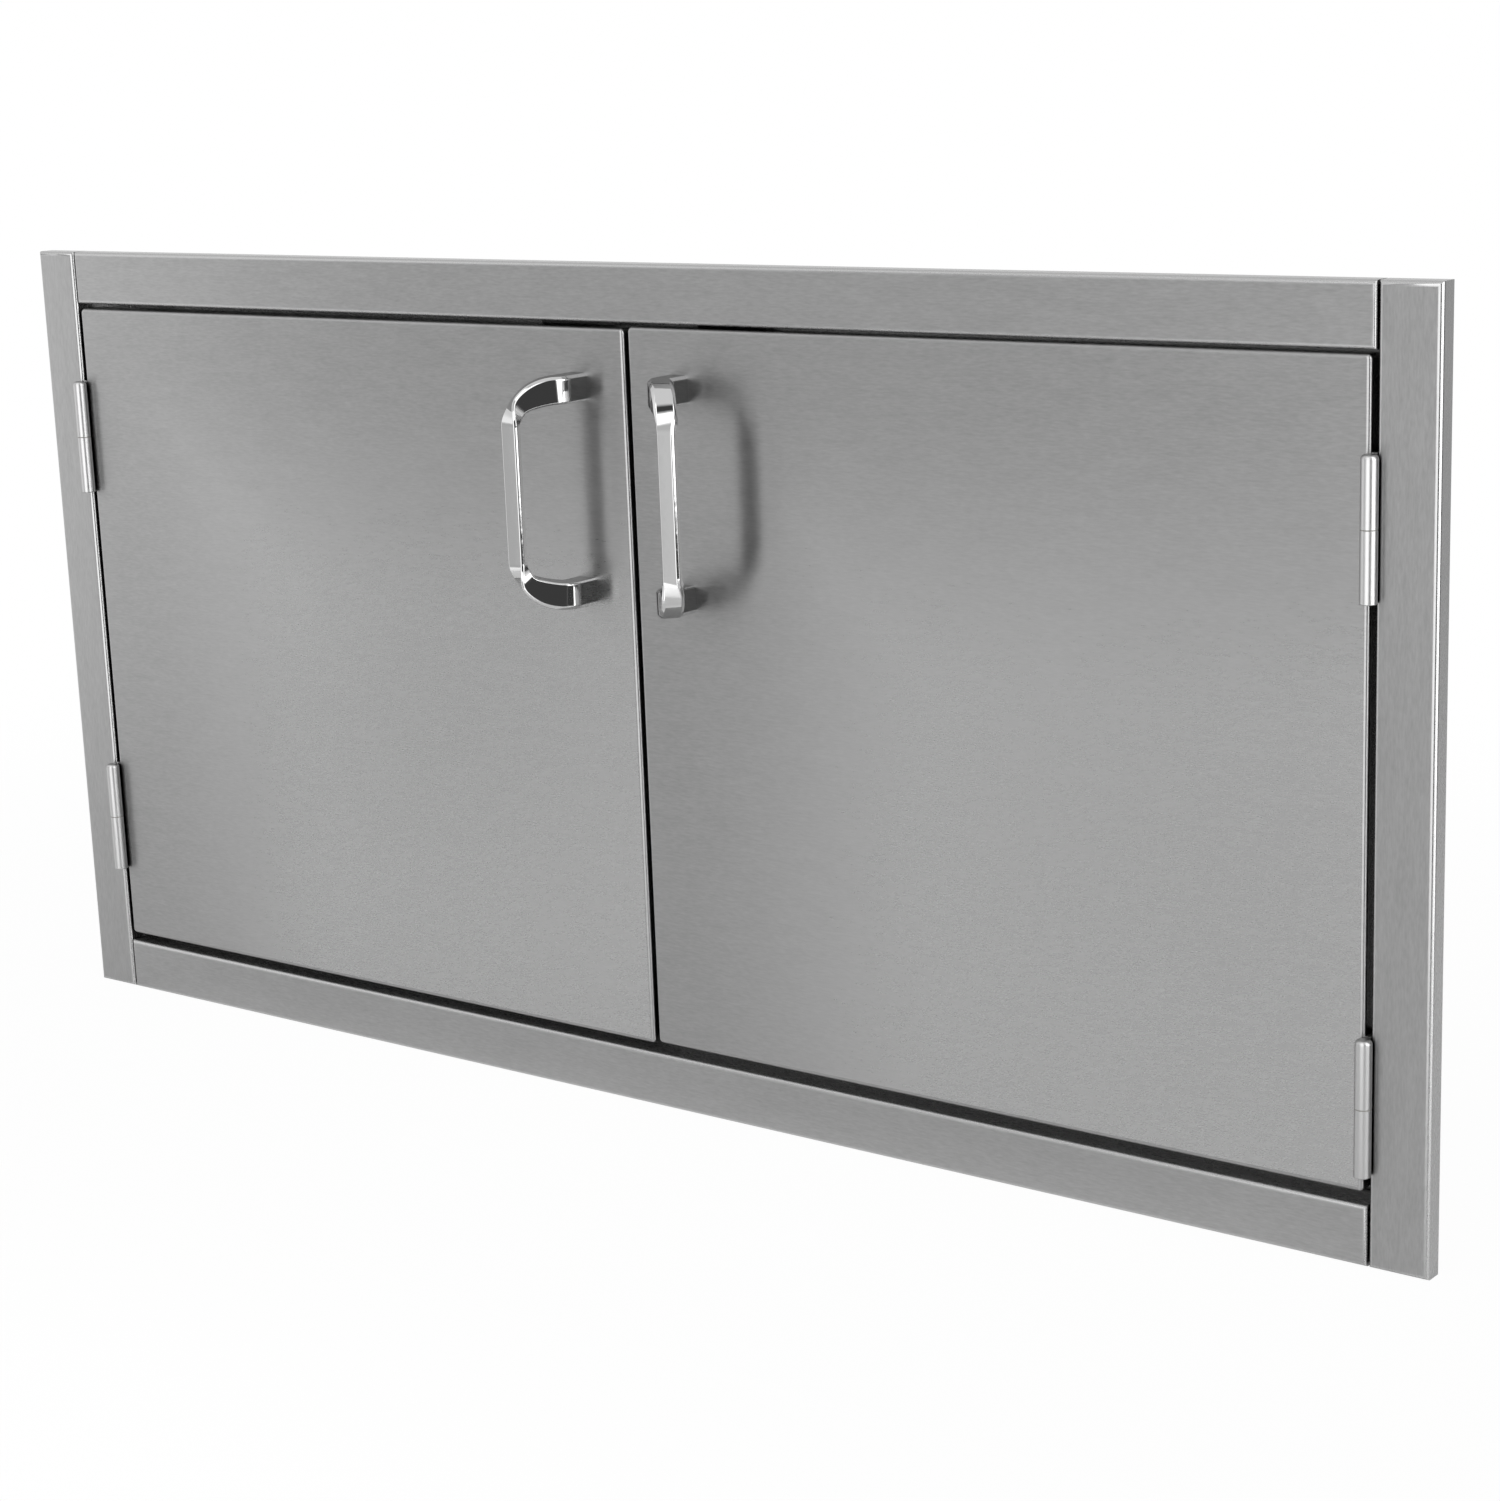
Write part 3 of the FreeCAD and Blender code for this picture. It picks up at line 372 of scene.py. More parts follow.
def make_soft_haze():
    """Broad cloudy patches, as left by polishing and wiping."""
    tree, given, result = open_effect(
        "soft_haze", [("Roughness", "Float", 0.3), ("Patches", "Vector", (6, 6, 6)), ("Tone", "Float", 0.05),
                      ("Amount", "Float", 0.05)],
        "Colour", "Roughness")
    cloud = noise(tree, stretched(tree, object_place(tree), given["Patches"]), 1.0, 3.0, 0.55)
    return give(tree, result, **varied(tree, given, cloud, given["Tone"], given["Amount"]))


def make_worn_edges():
    """Edges and folds rubbed brighter and smoother than the flats."""
    tree, given, result = open_effect(
        "worn_edges", [("Roughness", "Float", 0.3), ("Wear Colour", "Color", (0.8, 0.8, 0.8, 1)),
                       ("Wear", "Float", 0.3), ("Smoothing", "Float", 0.06)],
        "Colour", "Roughness")
    edge = smooth(tree, add_node(tree, "ShaderNodeNewGeometry").outputs["Pointiness"], WORN_FROM, WORN_FULL)
    amount = calc(tree, "MULTIPLY", edge, given["Wear"])
    mixed = add_node(tree, "ShaderNodeMix", {0: amount, 6: given["Colour"], 7: given["Wear Colour"]},
                     data_type="RGBA").outputs[2]
    rough = calc(tree, "SUBTRACT", given["Roughness"], calc(tree, "MULTIPLY", amount, given["Smoothing"]))
    return give(tree, result, Colour=mixed, Roughness=rough)


def make_fine_texture():
    """Even fine unevenness of moulded, sintered or galvanised surfaces."""
    tree, given, result = open_effect(
        "fine_texture", [("Roughness", "Float", 0.5), ("Grain Size", "Float", 0.4 * MM),
                         ("Contrast", "Float", 0.15), ("Roughness Change", "Float", 0.1)],
        "Colour", "Roughness", "Height")
    place = object_place(tree)
    scale = calc(tree, "DIVIDE", 1.0, given["Grain Size"])
    cells = add_node(tree, "ShaderNodeTexVoronoi", {
        "Vector": place, "Scale": calc(tree, "MULTIPLY", scale, CELL_SCALE)}).outputs["Distance"]
    grain = mix(tree, CELL_SHARE, noise(tree, place, scale, 3.0, 0.6), cells)
    return give(tree, result, Height=grain,
                **varied(tree, given, grain, given["Contrast"], given["Roughness Change"]))


def make_painted_gap_shade():
    """Painted shade: sheet deep in a narrow gap is painted dull and dark where ambient occlusion finds little
    free air; the trim's outer rim, which has none, is left out.
    """
    tree, given, result = open_effect(
        "shaded_gaps", [("Reach", "Float", 10 * MM), ("Depth", "Float", 0.06)], "Colour")
    # painted shade: ambient occlusion darkens the colour down to Depth inside narrow gaps
    air = add_node(tree, "ShaderNodeAmbientOcclusion", {"Distance": given["Reach"]}, samples=8).outputs["AO"]
    height = calc(tree, "ABSOLUTE", parts(tree, object_place(tree))["Z"])
    edge = CAD_BOX[1].z
    free = calc(tree, "MAXIMUM", air, smooth(tree, height, edge - RIM_FROM, edge - RIM_FULL))
    tone = smooth(tree, free, SHUT_IN, OPEN_AIR, given["Depth"])
    return give(tree, result, Colour=scaled(tree, given["Colour"], tone))


EFFECTS = {"brushed_grain": make_brushed_grain, "soft_haze": make_soft_haze, "worn_edges": make_worn_edges,
           "fine_texture": make_fine_texture, "shaded_gaps": make_painted_gap_shade}


def effect(tree, name, **feeds):
    """Place a shared effect in a material with its own values."""
    group = bpy.data.node_groups.get(name) or EFFECTS[name]()
    node = tree.nodes.new("ShaderNodeGroup")
    node.node_tree = group
    for word, feed in feeds.items():
        feed_socket(tree, node.inputs[word.replace("_", " ")], feed)
    return node.outputs


# Materials

BRUSHED_TANGENT = (0, 0.02, 1)  # reflections on brushed steel are drawn out upright


def new_material(name, metallic=0):
    made = bpy.data.materials.new(name)
    made.use_nodes = True
    shader = made.node_tree.nodes["Principled BSDF"]
    shader.inputs["Metallic"].default_value = metallic
    return made, made.node_tree, shader


def opaque(grey):
    return (*grey, 1)


def coat(tree, shader, surface, rubbed, wear, smoothing, paint_gap_shade=False):
    """Wear the edges of a surface, paint shade into it in narrow gaps if asked, and give it to the shader."""
    worn = effect(tree, "worn_edges", Colour=surface["Colour"], Roughness=surface["Roughness"],
                  Wear_Colour=rubbed, Wear=wear, Smoothing=smoothing)
    # painted shade: the colour is darkened in narrow gaps where ambient occlusion finds the sheet shut in
    seen = effect(tree, "shaded_gaps", Colour=worn["Colour"]) if paint_gap_shade else worn
    tree.links.new(seen["Colour"], shader.inputs["Base Color"])
    tree.links.new(worn["Roughness"], shader.inputs["Roughness"])


def add_bump(tree, shader, height, strength, distance):
    bump = add_node(tree, "ShaderNodeBump", {"Height": height, "Strength": strength, "Distance": distance})
    tree.links.new(bump.outputs["Normal"], shader.inputs["Normal"])


def brushed_steel(name, grey, upright=False, roughness=None, pull=None, contrast=0.5):
    """Stainless sheet brushed crosswise, or lengthwise on an upright."""
    finish = settings("finish")
    made, tree, shader = new_material(name, metallic=1)
    along, across = 1 / finish.grain_length, 1 / finish.grain_width
    lines = effect(tree, "brushed_grain", Colour=opaque(grey), Contrast=contrast, Roughness_Change=0.12,
                   Roughness=finish.brushed_roughness if roughness is None else roughness,
                   Lines=(across, across, along) if upright else (along, across, across))
    hazy = effect(tree, "soft_haze", Colour=lines["Colour"], Roughness=lines["Roughness"],
                  Patches=(5, 5, 2.5), Tone=0.06, Amount=0.05)
    # painted shade darkens this steel inside the narrow gaps between doors and trim
    coat(tree, shader, hazy, RUBBED_METAL, wear=0.55, smoothing=0.1, paint_gap_shade=True)
    shader.inputs["Anisotropic"].default_value = finish.brushed_pull if pull is None else pull
    tree.links.new(combine(tree, *BRUSHED_TANGENT), shader.inputs["Tangent"])
    add_bump(tree, shader, lines["Height"], strength=0.02, distance=0.04 * MM)
    return made


def plain_metal(name, grey, roughness, grain):
    """Metal with a fine even texture: plated, ground or rolled."""
    made, tree, shader = new_material(name, metallic=1)
    fine = effect(tree, "fine_texture", Colour=opaque(grey), Roughness=roughness, Grain_Size=grain,
                  Contrast=0.2, Roughness_Change=0.12)
    coat(tree, shader, fine, RUBBED_METAL, wear=0.4, smoothing=0.08)
    add_bump(tree, shader, fine["Height"], strength=0.1, distance=0.05 * MM)
    return made


def bright_chrome(name, grey):
    """Bright plating with faint haze and wiping marks."""
    made, tree, shader = new_material(name, metallic=1)
    hazy = effect(tree, "soft_haze", Colour=opaque(grey), Roughness=settings("finish").chrome_roughness,
                  Patches=(60, 60, 60), Tone=0.04, Amount=0.04)
    coat(tree, shader, hazy, (0.85, 0.85, 0.85, 1), wear=0.3, smoothing=0.0)
    ripple = noise(tree, object_place(tree), 160.0, 1.0)
    add_bump(tree, shader, ripple, strength=0.25, distance=0.1 * MM)
    return made


def moulded(name, grey, roughness, grain=0.5 * MM, bump=0.25):
    """Plastic, rubber or ferrite with a fine moulded texture."""
    made, tree, shader = new_material(name)
    fine = effect(tree, "fine_texture", Colour=opaque(grey), Roughness=roughness, Grain_Size=grain,
                  Contrast=0.25, Roughness_Change=0.15)
    scuffed = opaque([min(1, part * 1.8 + 0.02) for part in grey])
    coat(tree, shader, fine, scuffed, wear=0.5, smoothing=0.1)
    add_bump(tree, shader, fine["Height"], strength=bump, distance=0.08 * MM)
    return made


PAINTS = {  # how each slot is finished, the setting that holds its colour, and its own values
    "door_steel": (brushed_steel, "door_steel", {}),
    "trim_steel": (brushed_steel, "trim_steel", {}),
    "trim_steel_upright": (brushed_steel, "trim_steel", {"upright": True}),
    "liner_steel": (brushed_steel, "liner_steel", {"roughness": 0.34}),
    "hinge_steel": (brushed_steel, "hinge_steel", {"upright": True, "roughness": 0.38, "pull": 0.3,
                                                   "contrast": 0.08}),
    "bracket_steel": (plain_metal, "bracket_steel", {"roughness": 0.36, "grain": 0.9 * MM}),
    "fastener_steel": (plain_metal, "fastener_steel", {"roughness": 0.3, "grain": 0.3 * MM}),
    "plate_steel": (plain_metal, "plate_steel", {"roughness": 0.28, "grain": 0.7 * MM}),
    "handle_chrome": (bright_chrome, "chrome", {}),
    "catch_plastic": (moulded, "catch_plastic", {"roughness": 0.45}),
    "plug_plastic": (moulded, "plug_plastic", {"roughness": 0.4}),
    "washer_nylon": (moulded, "washer_nylon", {"roughness": 0.38, "grain": 0.3 * MM, "bump": 0.1}),
    "magnet_ferrite": (moulded, "ferrite", {"roughness": 0.55, "grain": 0.4 * MM, "bump": 0.4}),
    "bumper_rubber": (moulded, "rubber", {"roughness": 0.65, "bump": 0.3}),
}


def paint(name):
    """The material of that name, made the first time it is asked for."""
    made = bpy.data.materials.get("paint_" + name)
    if made is None:
        maker, tone, values = PAINTS[name]
        made = maker("paint_" + name, getattr(settings("finish"), tone), **values)
    return made


# Folded sheet by geometry nodes: an outline swept with the section of its fold

FOLD_REST = 0.2 * MM  # flat strip between a fold and the face that fills its outline
WELD = 0.01 * MM
SECTION_POINTS = 6


def shape_node(tree, kind, feeds=None, **choices):
    """A geometry node's first output."""
    return add_node(tree, "GeometryNode" + kind, feeds, **choices).outputs[0]


def join(tree, *shapes):
    node = tree.nodes.new("GeometryNodeJoinGeometry")
    for shape in shapes:
        tree.links.new(shape, node.inputs[0])
    return node.outputs[0]


def end_tree(tree, given, result, shape):
    """Make the shape real, paint it and give it to the tree's output."""
    real = shape_node(tree, "RealizeInstances", {"Geometry": shape})
    coated = shape_node(tree, "SetMaterial", {"Geometry": real, "Material": given["Material"]})
    tree.links.new(coated, result.inputs[0])
    return tree


def make_folded_tray():
    tree, given, result = open_tree(
        "folded_tray", "GeometryNodeTree",
        [("Geometry", "Geometry", None), ("Width", "Float", 0.4), ("Height", "Float", 0.4),
         ("Depth", "Float", 0.02), ("Sheet", "Float", 0.001), ("Bend", "Float", 0.0026),
         ("Corner", "Float", 0.003), ("Steps", "Int", 10), ("Material", "Material", None)],
        [("Geometry", "Geometry")])
    sheet, depth, bend, steps = given["Sheet"], given["Depth"], given["Bend"], given["Steps"]
    inner = calc(tree, "SUBTRACT", depth, sheet)
    flat = calc(tree, "ADD", bend, FOLD_REST)
    index = shape_node(tree, "InputIndex")

    def by_point(*feeds):
        """For each point of the section, the feed that stands at its place."""
        switch = add_node(tree, "GeometryNodeIndexSwitch", data_type="FLOAT")
        while len(switch.index_switch_items) < len(feeds):
            switch.index_switch_items.new()
        for socket, feed in zip(switch.inputs, (index, *feeds)):
            feed_socket(tree, socket, feed)
        return switch.outputs[0]

    across = by_point(flat, 0.0, 0.0, sheet, sheet, flat)
    rise = by_point(depth, depth, 0.0, 0.0, inner, inner)
    turns = by_point(0.0, bend, 0.0, 0.0, calc(tree, "SUBTRACT", bend, sheet), 0.0)
    section = shape_node(tree, "SetPosition", {
        "Geometry": shape_node(tree, "MeshLine", {"Count": SECTION_POINTS}),
        "Position": combine(tree, calc(tree, "MULTIPLY", across, -1.0), calc(tree, "MULTIPLY", rise, -1.0),
                            0.0)})
    section = shape_node(tree, "MeshToCurve", {"Mesh": section})
    section = shape_node(tree, "FilletCurve", {"Curve": section, "Count": steps, "Radius": turns},
                         mode="POLY")
    outline = shape_node(tree, "CurvePrimitiveQuadrilateral", {
        "Width": given["Width"], "Height": given["Height"]})
    outline = shape_node(tree, "FilletCurve", {"Curve": outline, "Count": steps, "Radius": given["Corner"]},
                         mode="POLY")
    outline = shape_node(tree, "SetCurveNormal", {"Curve": outline}, mode="Z_UP")
    swept = shape_node(tree, "CurveToMesh", {"Curve": outline, "Profile Curve": section})
    open_edge = add_node(tree, "FunctionNodeCompare", {2: shape_node(tree, "InputMeshEdgeNeighbors"), 3: 1},
                         data_type="INT", operation="EQUAL").outputs[0]
    height = parts(tree, shape_node(tree, "InputPosition"))["Z"]
    halfway = calc(tree, "MULTIPLY_ADD", sheet, -0.5, depth)
    faces = []
    for operation, level in (("GREATER_THAN", depth), ("LESS_THAN", inner)):
        chosen = add_node(tree, "FunctionNodeCompare", {0: height, 1: halfway}, operation=operation)
        both = add_node(tree, "FunctionNodeBooleanMath", {0: open_edge, 1: chosen.outputs[0]})
        loop = shape_node(tree, "MeshToCurve", {"Mesh": swept, "Selection": both.outputs[0]})
        face = shape_node(tree, "FillCurve", {"Curve": loop}, mode="NGONS")
        faces.append(shape_node(tree, "SetPosition", {
            "Geometry": face, "Offset": combine(tree, 0.0, 0.0, level)}))
    front, back = faces
    back = shape_node(tree, "FlipFaces", {"Mesh": back})
    whole = shape_node(tree, "MergeByDistance", {"Geometry": join(tree, back, front, swept),
                                                 "Distance": WELD})
    return end_tree(tree, given, result, whole)


# Rivets by geometry nodes: one turned shape on every point

def make_turned_fasteners():
    tree, given, result = open_tree(
        "turned_fasteners", "GeometryNodeTree",
        [("Geometry", "Geometry", None), ("Head Radius", "Float", 0.0026), ("Head Rise", "Float", 0.0001),
         ("Sink Depth", "Float", 0.001), ("Shank Radius", "Float", 0.0016), ("Grip", "Float", 0.003),
         ("Tail Radius", "Float", 0.0027), ("Tail Rise", "Float", 0.0009), ("Steps", "Int", 28),
         ("Material", "Material", None)],
        [("Geometry", "Geometry")])
    steps, grip = given["Steps"], given["Grip"]

    def placed(kind, feeds, shift=(0, 0, 0), stretch=(1, 1, 1)):
        return shape_node(tree, "Transform", {
            "Geometry": shape_node(tree, kind, feeds), "Translation": shift, "Scale": stretch})

    def dome(radius, rise, shift=(0, 0, 0)):
        ball = {"Segments": steps, "Rings": 12, "Radius": 1.0}
        return placed("MeshUVSphere", ball, shift, combine(tree, given[radius], given[radius], given[rise]))

    sink = placed("MeshCone", {"Vertices": steps, "Radius Top": given["Shank Radius"],
                               "Radius Bottom": given["Head Radius"], "Depth": given["Sink Depth"]})
    shank = placed("MeshCylinder", {"Vertices": steps, "Radius": given["Shank Radius"], "Depth": grip},
                   combine(tree, 0.0, 0.0, calc(tree, "MULTIPLY", grip, 0.5)))
    tail = dome("Tail Radius", "Tail Rise", combine(tree, 0.0, 0.0, grip))
    way = shape_node(tree, "InputNamedAttribute", {"Name": "way"}, data_type="FLOAT_VECTOR")
    turned = add_node(tree, "FunctionNodeAlignRotationToVector", {"Vector": way}, axis="Z").outputs[0]
    rivets = shape_node(tree, "InstanceOnPoints", {
        "Points": given["Geometry"], "Rotation": turned,
        "Instance": join(tree, tail, shank, sink, dome("Head Radius", "Head Rise"))})
    return end_tree(tree, given, result, rivets)


TREES = {"folded_tray": make_folded_tray, "turned_fasteners": make_turned_fasteners}


def by_nodes(name, tree_name, mesh, **values):
    """Run a geometry tree on a mesh with its own values, and keep the result as a plain mesh."""
    tree = bpy.data.node_groups.get(tree_name) or TREES[tree_name]()
    piece = mesh_object(name, mesh)
    modifier = piece.modifiers.new(tree_name, "NODES")
    modifier.node_group = tree
    sockets = {item.name: item.identifier for item in tree.interface.items_tree if item.in_out == "INPUT"}
    for word, given in values.items():
        modifier[sockets[word.replace("_", " ")]] = given
    return settle(piece)


def make_tray(name, low, high, sheet, bend, corner, material, opens_back=True):
    """A folded tray that fills the box from low to high."""
    sizes = settings("sizes")
    size = high - low
    piece = by_nodes(name, "folded_tray", bpy.data.meshes.new(name), Width=size.x, Height=size.z,
                     Depth=size.y, Sheet=sheet, Bend=bend, Corner=corner, Steps=sizes.fold_steps,
                     Material=material)
    centre = (low + high) / 2
    if opens_back:
        place = Matrix(((1, 0, 0, centre.x), (0, 0, -1, high.y), (0, 1, 0, centre.z), (0, 0, 0, 1)))
    else:
        place = Matrix(((-1, 0, 0, centre.x), (0, 0, 1, low.y), (0, 1, 0, centre.z), (0, 0, 0, 1)))
    piece.data.transform(place)
    return finish_mesh(piece)


def set_rivets(node, body, way):
    """Put rivets in place of the node's solids; way leads into the work, mirrored on the left side."""
    sizes = settings("sizes")
    heads, ways = [], []
    for low, high in solids_of(node):
        centre = (low + high) / 2
        into = Vector((-way.x, 0, 0)) if way.x and centre.x < 0 else way
        heads.append([(low if step > 0 else high)[axis] if step else centre[axis]
                      for axis, step in enumerate(into)])
        ways.extend(into)
        grip = abs((high - low).dot(into)) - sizes.rivet_tail_rise
    mesh = bpy.data.meshes.new(node + "_set")
    mesh.from_pydata(heads, [], [])
    mesh.attributes.new("way", "FLOAT_VECTOR", "POINT").data.foreach_set("vector", ways)
    piece = by_nodes(node + "_set", "turned_fasteners", mesh, Grip=grip, Steps=sizes.turn_steps,
                     Head_Radius=sizes.rivet_shank + sizes.rivet_sink, Head_Rise=sizes.rivet_rise,
                     Sink_Depth=sizes.rivet_sink, Shank_Radius=sizes.rivet_shank,
                     Tail_Radius=sizes.rivet_tail, Tail_Rise=sizes.rivet_tail_rise,
                     Material=paint("fastener_steel"))
    attach(finish_mesh(piece), body, paint("fastener_steel"), node)


# Trim pieces in mesh code

def quarter(steps):
    """Angles of a fold's rows."""
    return [math.pi / 2 * step / steps for step in range(steps + 1)]


def join_rows(shape, rows):
    """Bridge each row of vertices to the next one, all round."""
    for first, second in zip(rows, rows[1:]):
        for corner in range(len(first)):
            following = (corner + 1) % len(first)
            shape.faces.new((first[corner], first[following], second[following], second[corner]))


def fold_section(depth, sheet, bend, steps):
    """Inset and depth of each row, from the face's outer skin round the rim to its inner skin."""
    def turn(radius, front):
        return [(bend - radius * math.sin(angle), front + radius * (1 - math.cos(angle)))
                for angle in quarter(steps)]

    outer = turn(bend, -depth)
    inner = turn(bend - sheet, -depth + sheet)
    return outer + [(0, 0), (sheet, 0)] + inner[::-1]


def add_pan(shape, centre, across, along, half_across, half_along, depth, sheet, bend, steps):
    """A square-cornered pan, open to the back, with an even fold round its face."""
    rows = []
    for inset, y in fold_section(depth, sheet, bend, steps):
        row = []
        for a, b in ((1, 1), (-1, 1), (-1, -1), (1, -1)):
            place = centre + across * (a * (half_across - inset)) + along * (b * (half_along - inset))
            row.append(shape.verts.new((place.x, y, place.z)))
        rows.append(row)
    join_rows(shape, rows)
    shape.faces.new(rows[0])
    shape.faces.new(rows[-1][::-1])


def add_pierced_strip(shape, corner, across, along, out, size, thick, holes, radius, steps):
    """A flat strip with round holes; corner is its first corner, holes are given along and across it."""
    run, width = size
    turn = [-2 * math.pi * step / steps for step in range(steps)]
    loops = [[Vector((x, y, 0)) for x, y in ((0, 0), (run, 0), (run, width), (0, width))]]
    for x, y in holes:
        loops.append([Vector((x + radius * math.cos(angle), y + radius * math.sin(angle), 0))
                      for angle in turn])
    flat = [point for loop in loops for point in loop]
    sides = [[shape.verts.new(corner + along * point.x + across * point.y + out * lift) for point in flat]
             for lift in (0, thick)]
    for a, b, c in tessellate_polygon(loops):
        shape.faces.new((sides[0][a], sides[0][b], sides[0][c]))
        shape.faces.new((sides[1][c], sides[1][b], sides[1][a]))
    start = 0
    for loop in loops:
        count = len(loop)
        for step in range(count):
            first, second = start + step, start + (step + 1) % count
            shape.faces.new((sides[0][first], sides[0][second], sides[1][second], sides[1][first]))
        start += count


def add_flange(shape, corner, along, across, run, back, height, sheet, bend, steps):
    """The fold and the flange that end a sleeve behind the doors; corner is on the sleeve's wall side."""
    def turn(radius):
        return [(back - bend + radius * math.sin(angle), bend - radius * math.cos(angle))
                for angle in quarter(steps)]

    rows = []
    for y, inward in turn(bend) + [(back, height), (back - sheet, height)] + turn(bend - sheet)[::-1]:
        place = corner + across * inward
        ends = [place, place + along * run]
        rows.append([shape.verts.new((end.x, y, end.z)) for end in ends])
    for first, second in zip(rows, rows[1:] + rows[:1]):
        shape.faces.new((first[0], first[1], second[1], second[0]))
    for end in (0, 1):
        shape.faces.new([row[end] for row in rows])


def make_trim_piece(node, across, along, sleeve_half, hole_spacing, material, flange=0):
    """Pan and sleeve of one side of the trim; across points to the opening."""
    sizes = settings("sizes")
    low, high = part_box(node)
    outer = max(-across.dot(low), -across.dot(high))
    centre = along * along.dot((low + high) / 2) - across * (outer - sizes.trim_face / 2)
    half_along = abs((high - low).dot(along)) / 2
    shape = bmesh.new()
    add_pan(shape, centre, across, along, sizes.trim_face / 2, half_along, -low.y, sizes.trim_sheet,
            sizes.trim_bend, sizes.fold_steps)
    corner = centre + across * (sizes.trim_face / 2 - sizes.trim_sheet) - along * sleeve_half
    corner.y = 0
    back = high.y - (sizes.flange_bend if flange else 0)
    holes = [(sleeve_half + step * hole_spacing / 2, sizes.mount_hole_row) for step in (-1, 1)]
    add_pierced_strip(shape, corner, BACK, along, across, (2 * sleeve_half, back), sizes.trim_sheet,
                      holes, sizes.mount_hole, sizes.turn_steps)
    if flange:
        add_flange(shape, corner, along, across, 2 * sleeve_half, high.y, flange, sizes.trim_sheet,
                   sizes.flange_bend, sizes.fold_steps)
    bmesh.ops.recalc_face_normals(shape, faces=shape.faces)
    piece = finish_mesh(from_bmesh(node + "_folded", shape))
    attach(piece, "frame", material, node)


# Handles in mesh code

BEVEL_STEPS = 3
BEVEL_ROUND = 0.33  # share of a bevel's height that its rounding takes from each face
CREASE_LEFT = 0.1  # share of a crease's rounding that is left on the inner side of its turn
LIMIT_ROUND = 0.4 * MM  # how softly the grip meets the depth of its solid


def ease(share):
    share = min(max(share, 0), 1)
    return share * share * (3 - 2 * share)


def between(start, end, share):
    return start + (end - start) * share


def excess(depth):
    """How far depth is past 0, rounded off near 0."""
    ratio = depth / LIMIT_ROUND
    return LIMIT_ROUND * (ratio + math.sqrt(ratio * ratio + 1)) / 2


def bar_section(wide, tall, outer, inner, draft):
    """Points of a bar's section, across and outward: rounded bevels, and sides that draw in to its inside."""
    half, rise = wide / 2, tall / 2
    back = half - tall * draft
    right = [(back - inner, -rise), (back + inner * draft, inner - rise),
             (half - outer * draft, rise - outer), (half - outer, rise)]
    corners = [Vector(corner) for corner in right] + [Vector((-u, v)) for u, v in reversed(right)]
    points = []
    for number, corner in enumerate(corners):
        bevel = outer if 2 <= number <= 5 else inner
        before = (corners[number - 1] - corner).normalized() * bevel * BEVEL_ROUND
        after = (corners[(number + 1) % 8] - corner).normalized() * bevel * BEVEL_ROUND
        for step in range(BEVEL_STEPS + 1):
            share = step / BEVEL_STEPS
            points.append(corner + before * (1 - share) ** 2 + after * share ** 2)
    return points


def arm_place(sizes, sign, lean, turn, u, v):
    """A point of the upper arm's skin, seen from the middle of its crease: u across, v outward."""
    reach = math.hypot(sizes.grip_offset, sizes.grip_reach - sizes.foot_length)
    along = Vector((sign * math.sin(lean), -math.cos(lean), 0))
    bent = max(turn, 0)
    centre = along * (reach * (math.sin(bent) + min(turn, 0))) + UP * (sizes.arm_drop * (math.cos(bent) - 1))
    run = (along * (reach * math.cos(bent)) - UP * (sizes.arm_drop * math.sin(bent))).normalized()
    late = (bent - sizes.twist_start) / (math.pi / 2 - sizes.twist_start)
    twist = lean * (1 - ease(late))
    across = Vector((-sign * math.cos(twist), -math.sin(twist), 0))
    across = (across - run * across.dot(run)).normalized()
    return centre + across * u + across.cross(run) * (sign * v)


def arm_start(sizes, lean, u):
    """How far round its bend the arm begins at u across, past the rounding of its crease."""
    reach = math.hypot(sizes.grip_offset, sizes.grip_reach - sizes.foot_length)
    back = sizes.crease_round * between(CREASE_LEFT, 1, ease(u / sizes.foot_width + 0.5))
    return back, (back - u * math.tan(lean / 2)) / reach


def crease_rows(sizes, sign, lean):
    """Rows of points where the arm leans away from its foot; the outer side of the turn is rounded."""
    rows = []
    for step in range(sizes.crease_steps + 1):
        share = step / sizes.crease_steps
        row = []
        for u, v in bar_section(between(sizes.foot_width, sizes.arm_width, share), sizes.foot_height,
                                sizes.arm_bevel, sizes.inner_bevel, 0):
            back, start = arm_start(sizes, lean, u)
            turn = Vector((-sign * u, -u * math.tan(lean / 2), v))
            last = arm_place(sizes, sign, lean, start, u, v)
            row.append(turn * (1 - (1 - share) ** 2 - share ** 2)
                       + (turn + Vector((0, back, 0))) * (1 - share) ** 2 + last * share ** 2)
        rows.append(row)
    return rows


def arm_rows(sizes, sign, lean):
    """Rows of points from the crease to the straight grip."""
    rows = []
    for step in range(1, sizes.arm_steps + 1):
        share = step / sizes.arm_steps
        thinned = ease(share) ** sizes.arm_ease
        section = bar_section(between(sizes.arm_width, sizes.grip_width, thinned),
                              between(sizes.foot_height, sizes.grip_depth, thinned),
                              between(sizes.arm_bevel, sizes.grip_bevel, ease(share)),
                              between(sizes.inner_bevel, sizes.grip_inner_bevel, share),
                              sizes.grip_draft * ease(share))
        row = []
        for u, v in section:
            turn = between(arm_start(sizes, lean, u)[1], math.pi / 2, share)
            row.append(arm_place(sizes, sign, lean, turn, u, v))
        rows.append(row)
    return rows


